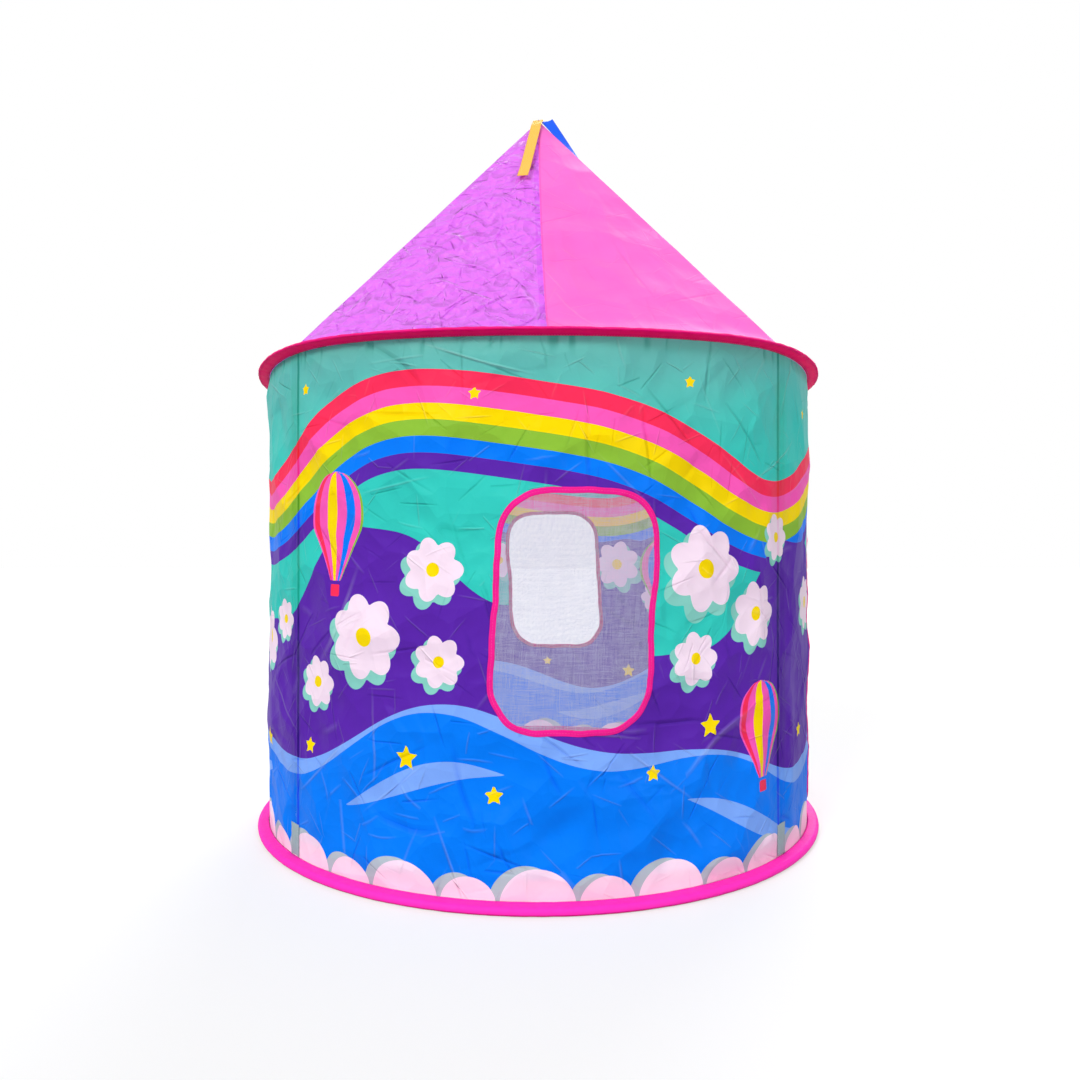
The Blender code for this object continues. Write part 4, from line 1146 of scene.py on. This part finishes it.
def eave_tape():
    """The eave's tube of cloth: its two layers run out flat from the seam and close round the hoop."""
    low, high = (0.5053, 0.8000), (0.5053, 0.8036)
    cap = arc((HOOP_RADIUS, HOOP_HEIGHT), 0.0024, -68, 112, 12)
    layer = 6
    upper = straight([cap[-1], high, low], [layer, 2])
    profile = np.concatenate([straight([low, cap[0]], [layer]), cap[:-1], upper])
    under, over = np.linspace(0, 0.46, layer), np.linspace(0.54, 1.0, layer)
    # Across below 0.49 takes the eave's painted shaded tone and above it the painted lit tone
    across = np.concatenate([under, np.linspace(0.47, 0.53, len(cap) - 1), over, [1.0, 1.0]])
    settings = {"lifted": True, "pucker": 0.00055, "seed": 151, "uv_across": across}
    piece = ring_piece("eave_tape", profile, 900, "roof", "eave_cloth", "eave_tape", **settings)
    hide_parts("eave_binding")


def eave_facing():
    """The eave's facing: a strip behind the wall's top edge, as far in as the wall's folds can reach.

    It rides on the roof and keeps the eave closed over the poles.
    """
    columns, rows, foot, wide, inset, thickness = 1400, 7, 0.7840, 0.0180, 0.0013, 0.0004
    share = np.arange(columns) / columns
    up = np.linspace(0, 1, rows)
    height, turn = grid(foot + wide * up, (2 * share - 1) * np.pi)
    points = around(turn, WALL_RADIUS - inset - slack(turn, height), height + eave_lift(turn))
    faces = grid_faces(rows, columns, False, True)
    # Across stays below 0.49, so the facing takes the eave's painted shaded tone
    uv = np.meshgrid(share * ROUND, 0.10 + 0.30 * up)
    piece = mesh_piece("eave_facing", points, faces, "roof", "eave_tape", uv=uv)
    thicken(piece, thickness)


def eave_wire():
    """The eave's hoop, a wire bent in a ring that rises over the poles, and the crimp tube pressed on it."""
    section = arc((HOOP_RADIUS, HOOP_HEIGHT), 0.0015, 0, 330, 12)
    wire = ring_piece("eave_wire", section, 480, "roof", "hoop_steel", "spring_steel", lifted=True)
    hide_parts("eave_hoop")
    rows, ring, half, mouth, tube, dent = 15, 20, 0.015, 0.0017, 0.0021, 0.00025
    share = np.concatenate([[-1.0], np.linspace(-1, 1, rows - 2), [1.0]])[:, None]
    radius = tube - dent * (np.abs(np.abs(share) - 0.45) < 0.12)
    radius[[0, -1]] = mouth
    turn = math.radians(88.75) + share * half / HOOP_RADIUS
    height = HOOP_HEIGHT + eave_lift(turn) + radius * np.sin(circle(ring))
    points = around(turn, HOOP_RADIUS + radius * np.cos(circle(ring)), height)
    caps = end_caps(rows, ring)
    faces = grid_faces(rows, ring, False, True)
    crimp = mesh_piece("eave_crimp", points, faces, "roof", "spring_steel", caps=caps)
    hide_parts("eave_hoop_crimp")


def foot_tape():
    """The foot's tube of cloth: it folds under the wall and rolls round the hoop."""
    inner, outer, top = 0.5020, 0.5033, 0.0040
    roll = arc((0.5180, 0.0070), 0.0068, -80, 78, 14)
    under = straight([(inner, top), (inner, 0.0003), roll[0]], [2, 6])
    over = [roll[-1], (0.5056, 0.0150), (0.5053, 0.0020), (outer, 0.0020), (outer, top), (inner, top)]
    profile = np.concatenate([under, roll[:-1], straight(over, [6, 4, 2, 2, 2])])
    # Without uv_across, about the first third of the profile, under the wall and at the bottom of the roll,
    # takes the tape's painted shade
    settings = {"pucker": 0.00022, "seed": 161}
    piece = ring_piece("foot_tape", profile, 720, "base", "base_cloth", "foot_tape", **settings)
    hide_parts("base_binding")


def foot_skirt():
    """The foot's skirt: the tape's inner edge, which stands up behind the wall."""
    inner, outer, low, high = 0.5022, 0.5031, 0.0030, 0.0450
    corners = [(inner, high), (inner, low), (outer, low), (outer, high), (inner, high)]
    profile = straight(corners, [10, 2, 10, 2])
    across = np.linspace(0.40, 0.95, len(profile))
    settings = {"pucker": 0.00015, "seed": 163, "uv_across": across}
    piece = ring_piece("foot_skirt", profile, 720, "base", "base_cloth", "foot_tape", **settings)
    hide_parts("base_binding")
    crumple(piece)


def ribbon(colour, degrees, length, tilt):
    """A ribbon from the tip: a straight strip down the roof's slope, resting on the highest folds under it.

    tilt is how far its right edge is turned up near the tip, in degrees.
    """
    sizes = bpy.context.scene.tent_sizes
    rows, columns, width, thickness = 90, 11, sizes.ribbon_width, 0.0006
    off_cloth, end_lift = 0.0012, 0.003
    rim, slant, slope = roof_slope()
    turn, tilt = math.radians(degrees), math.radians(tilt)
    side = np.array([math.cos(turn), math.sin(turn), 0.0])
    down = around(turn, math.cos(slope), -math.sin(slope))
    out = around(turn, math.sin(slope), math.cos(slope))
    far = np.linspace(0, 1, rows)
    share = np.maximum(far * length / slant, 0.02)
    across = np.linspace(-0.5, 0.5, columns)
    spread = np.clip(across[None] * width / (share[:, None] * rim), -0.9, 0.9)
    under = roof_points(turn + spread, share[:, None])
    tip = np.array([0.0, 0.0, PEAK_HEIGHT + thickness])
    cloth = ((under - tip - down * (share * slant)[:, None, None]) @ out).max(axis=1)
    level = np.polyval(np.polyfit(far, cloth, 1), far)
    lift = level + (cloth - level).max() + off_cloth * math.cos(tilt)
    lift = lift * (0.25 + 0.75 * ease(0.0, 0.16, far)) + end_lift * ease(0.8, 1.0, far)
    turned = np.arcsin(math.sin(tilt) * np.interp(far, [0.0, 0.125, 0.75, 1.0], [0.10, 1.0, 0.34, 0.05]))
    narrow = 1 - (0.6 if tilt else 0.0) * (1 - ease(0.0, 0.10, far))
    lift = lift + narrow * width / 2 * np.abs(np.sin(turned))
    strip = (side * np.cos(turned)[:, None] + out * np.sin(turned)[:, None]) * narrow[:, None]
    spine = tip + down * (far * length)[:, None] + out * lift[:, None]
    points = spine[:, None] + strip[:, None] * (across * width)[None, :, None]
    name, faces, uv = "tip_ribbon_" + colour, grid_faces(rows, columns), grid(far * length, across + 0.5)
    piece = mesh_piece(name, points, faces, "roof", colour + "_ribbon", uv=uv)
    thicken(piece, thickness)
    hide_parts("ribbon_" + colour)


def made(name):
    """The finish of a name, made the first time that it is asked for."""
    inks = bpy.context.scene.tent_colours
    found = bpy.data.materials.get(name)
    if found:
        return found
    crumpled = {"large": (12.0, 0.22), "small": (46.0, 0.42), "lines": 1.25, "gloss": 0.34, "shine": 0.22}
    # Painted shade beside the roof's seams, where the double cloth of the seam lets less light through
    crumpled["double_layer_shade"] = ("seam_gap", 0.011, 0.30)
    smooth = {"large": (5.0, 0.10), "small": (20.0, 0.07), "lines": 0.45, "shine": 0.10}
    smooth["double_layer_shade"] = ("seam_gap", 0.0035, 0.30)
    coarse = 0.0016
    makers = {
        "printed_polyester": printed_cloth,
        "purple_polyester": lambda: plain_cloth(name, inks.roof_purple, **crumpled),
        "pink_polyester": lambda: plain_cloth(name, inks.roof_pink, **smooth),
        "curtain_polyester": lambda: plain_cloth(name, inks.curtain, lines=0.35),
        "sleeve_polyester": lambda: plain_cloth(name, inks.sleeve, through=0.20),
        "opening_tape": lambda: tape_cloth(name, inks.tape, (0.5,), through=0.18),
        # The eave and foot tapes each have two tones of one colour: a painted shaded underside and a lighter,
        # lit part above it
        "eave_tape": lambda: tape_cloth(
            name, inks.eave, (0.06, 0.94), rib=coarse, edge=(0.49, inks.eave_lit_edge), through=0.35
        ),
        "foot_tape": lambda: tape_cloth(name, inks.foot_shade, rib=coarse, edge=(0.33, inks.foot)),
        "patch_webbing": lambda: tape_cloth(name, inks.patch, (0.12, 0.88)),
        "net_thread": thread_finish,
        "orange_ribbon": lambda: ribbon_finish(name, inks.orange),
        "blue_ribbon": lambda: ribbon_finish(name, inks.blue),
        "glass_fibre_rod": rod_finish,
        "moulded_black": moulded_finish,
        "plated_ferrule": lambda: steel_finish(name, (0.62, 0.63, 0.65, 1.0), 0.24),
        "spring_steel": lambda: steel_finish(name, (0.42, 0.44, 0.48, 1.0), 0.32),
    }
    return makers[name]()


# Stage


def seen_directly(nodes, links):
    """1 for what the camera, a shiny surface or a clear one sees directly, and 0 for light that falls."""
    path = nodes.new("ShaderNodeLightPath")
    seen = path.outputs["Is Camera Ray"]
    for ray in ("Is Glossy Ray", "Is Transmission Ray"):
        either = nodes.new("ShaderNodeMath")
        either.operation = "MAXIMUM"
        links.new(seen, either.inputs[0])
        links.new(path.outputs[ray], either.inputs[1])
        seen = either.outputs[0]
    return seen


def make_world():
    """A white surround for the camera and for reflections, and a plain grey one for the light it gives."""
    world = bpy.data.worlds.new("studio")
    bpy.context.scene.world = world
    world.use_nodes = True
    nodes, links = world.node_tree.nodes, world.node_tree.links
    nodes.clear()
    seen = seen_directly(nodes, links)
    strength = nodes.new("ShaderNodeMapRange")
    strength.inputs["To Min"].default_value = 0.60
    strength.inputs["To Max"].default_value = 1.0
    links.new(seen, strength.inputs["Value"])
    background = nodes.new("ShaderNodeBackground")
    background.inputs["Color"].default_value = WHITE
    links.new(strength.outputs["Result"], background.inputs["Strength"])
    output = nodes.new("ShaderNodeOutputWorld")
    links.new(background.outputs[0], output.inputs["Surface"])


def make_floor():
    """A wide white floor that keeps the tent's shadow and otherwise runs into the white surround."""
    finish = Finish("studio_floor")
    seen = seen_directly(finish.nodes, finish.links)
    lit = finish.add("BsdfDiffuse", {"Color": darker(WHITE, 0.40)})
    glow = finish.add("Emission", {"Color": WHITE, "Strength": finish.times(seen, 0.565)})
    floor_finish = finish.done(finish.add("AddShader", {0: lit.outputs[0], 1: glow.outputs[0]}).outputs[0])
    mesh = bpy.data.meshes.new("studio_floor")
    half, under = 14.0, -0.0004
    corners = [(x * half, y * half, under) for x, y in ((-1, -1), (1, -1), (1, 1), (-1, 1))]
    mesh.from_pydata(corners, [], [(0, 1, 2, 3)])
    mesh.materials.append(floor_finish)
    floor = bpy.data.objects.new("studio_floor", mesh)
    bpy.context.collection.objects.link(floor)


def make_light(name, place, spread, strength):
    """A wide soft light from far away, so that it falls evenly on the tent and the floor."""
    lamp = bpy.data.lights.new(name, "SUN")
    lamp.angle = math.radians(spread)
    lamp.energy = strength
    holder = bpy.data.objects.new(name, lamp)
    holder.location = place
    aim = Vector((0.0, 0.0, 0.7)) - Vector(place)
    holder.rotation_euler = aim.to_track_quat("-Z", "Y").to_euler()
    bpy.context.collection.objects.link(holder)


def make_camera():
    """A level camera in front of the tent, at the middle of its height."""
    lens = bpy.data.cameras.new("camera")
    lens.sensor_width = 36.0
    lens.lens = 29.1
    camera = bpy.data.objects.new("camera", lens)
    camera.location = (0.003, -1.716, 0.517)
    camera.rotation_euler = (math.pi / 2, 0.0, 0.0)
    bpy.context.collection.objects.link(camera)
    bpy.context.scene.camera = camera


# Steps of the build


class TENT_OT_walls(bpy.types.Operator):
    """Hang the four printed wall panels"""

    bl_idname = "tent.walls"
    bl_label = "Wall cloth"

    def execute(self, context):
        step = context.scene.tent_sizes.cloth_step
        for side, first in (("front", -50), ("right", 50), ("back", 130), ("left", 230)):
            wall_cloth(side, first, first + (100 if side in WINDOWS else 80), step)
        return {"FINISHED"}


class TENT_OT_windows(bpy.types.Operator):
    """Put the nets and their tapes in the two windows"""

    bl_idname = "tent.windows"
    bl_label = "Windows"

    def execute(self, context):
        for side, degrees in WINDOWS.items():
            outline = WINDOW_SIZE, WINDOW_CORNERS, WINDOW_MIDDLE
            opening_tape("window_tape_" + side, "window_binding_" + side, degrees, *outline, leaning=1.0)
            window_net(side)
        return {"FINISHED"}


class TENT_OT_doorway(bpy.types.Operator):
    """Bind the doorway and tie its two curtains back"""

    bl_idname = "tent.doorway"
    bl_label = "Doorway"

    def execute(self, context):
        opening_tape("door_tape", "door_binding", DOOR_TURN, DOOR_SIZE, DOOR_CORNERS, DOOR_MIDDLE)
        curtain("far", 1)
        curtain("near", -1)
        return {"FINISHED"}


class TENT_OT_sleeves(bpy.types.Operator):
    """Sew the pole sleeves, foot pockets and foot patches on the wall"""

    bl_idname = "tent.sleeves"
    bl_label = "Pole sleeves"

    def execute(self, context):
        for side, degrees in POLE_TURNS.items():
            pole_sleeve(side, degrees)
            pole_pocket(side, degrees)
        foot_patches()
        return {"FINISHED"}


class TENT_OT_roof(bpy.types.Operator):
    """Stretch the four roof panels over the ribs"""

    bl_idname = "tent.roof"
    bl_label = "Roof cloth"

    def execute(self, context):
        for k, side in enumerate(("front_right", "back_right", "back_left", "front_left")):
            roof_cloth(side, 90 * k, ("pink", "purple")[k % 2])
        return {"FINISHED"}


class TENT_OT_eave(bpy.types.Operator):
    """Sew the eave's tape round its hoop"""

    bl_idname = "tent.eave"
    bl_label = "Eave"

    def execute(self, context):
        eave_tape()
        eave_facing()
        eave_wire()
        return {"FINISHED"}


class TENT_OT_foot(bpy.types.Operator):
    """Sew the foot's tape round its hoop"""

    bl_idname = "tent.foot"
    bl_label = "Foot"

    def execute(self, context):
        foot_tape()
        foot_skirt()
        return {"FINISHED"}


class TENT_OT_ribbons(bpy.types.Operator):
    """Tie the two ribbons to the tip"""

    bl_idname = "tent.ribbons"
    bl_label = "Ribbons"

    def execute(self, context):
        ribbon("orange", -11.0, 0.224, 0.0)
        ribbon("blue", 73.0, 0.150, 76.0)
        return {"FINISHED"}


class TENT_OT_rods(bpy.types.Operator):
    """Finish the poles, ribs, hub and foot hoop that come with the frame"""

    bl_idname = "tent.rods"
    bl_label = "Poles and ribs"

    def execute(self, context):
        kinds = {"ferrule": "plated_ferrule", "hoop": "spring_steel", "hub": "moulded_black"}
        for name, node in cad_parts.items():
            if node.hide_render:
                continue
            finish = made(next((v for k, v in kinds.items() if k in name), "glass_fibre_rod"))
            for slot in node.material_slots:
                slot.material = finish
        return {"FINISHED"}


class TENT_OT_stage(bpy.types.Operator):
    """Set the floor, the lights, the surround and the camera"""

    bl_idname = "tent.stage"
    bl_label = "Stage"

    def execute(self, context):
        make_world()
        make_floor()
        make_light("key", (-2.2, -3.0, 3.0), 20.0, 2.20)
        make_light("fill", (2.6, -2.9, 0.8), 30.0, 1.40)
        make_light("back", (0.6, 2.8, 2.6), 40.0, 2.60)
        make_camera()
        context.scene.view_settings.view_transform = "Standard"
        return {"FINISHED"}


STEPS = (
    TENT_OT_walls,
    TENT_OT_windows,
    TENT_OT_doorway,
    TENT_OT_sleeves,
    TENT_OT_roof,
    TENT_OT_eave,
    TENT_OT_foot,
    TENT_OT_ribbons,
    TENT_OT_rods,
    TENT_OT_stage,
)


class TENT_PT_panel(bpy.types.Panel):
    """The steps of the build, and the sizes and colours they use"""

    bl_idname = "TENT_PT_panel"
    bl_label = "Play tent"
    bl_space_type = "VIEW_3D"
    bl_region_type = "UI"
    bl_category = "Play tent"

    def draw(self, context):
        for group in (context.scene.tent_sizes, context.scene.tent_colours):
            box = self.layout.box()
            for key in group.bl_rna.properties.keys():
                if key not in ("rna_type", "name"):
                    box.prop(group, key)
        for step in STEPS:
            self.layout.operator(step.bl_idname)


CLASSES = (TentSizes, TentColours, *STEPS, TENT_PT_panel)


def register():
    for kind in CLASSES:
        bpy.utils.register_class(kind)
    bpy.types.Scene.tent_sizes = bpy.props.PointerProperty(type=TentSizes)
    bpy.types.Scene.tent_colours = bpy.props.PointerProperty(type=TentColours)


def unregister():
    del bpy.types.Scene.tent_sizes
    del bpy.types.Scene.tent_colours
    for kind in reversed(CLASSES):
        bpy.utils.unregister_class(kind)


def main():
    """Builds the whole scene."""
    register()
    for step in STEPS:
        group, name = step.bl_idname.split(".")
        getattr(getattr(bpy.ops, group), name)()


if __name__ == "__main__":
    main()
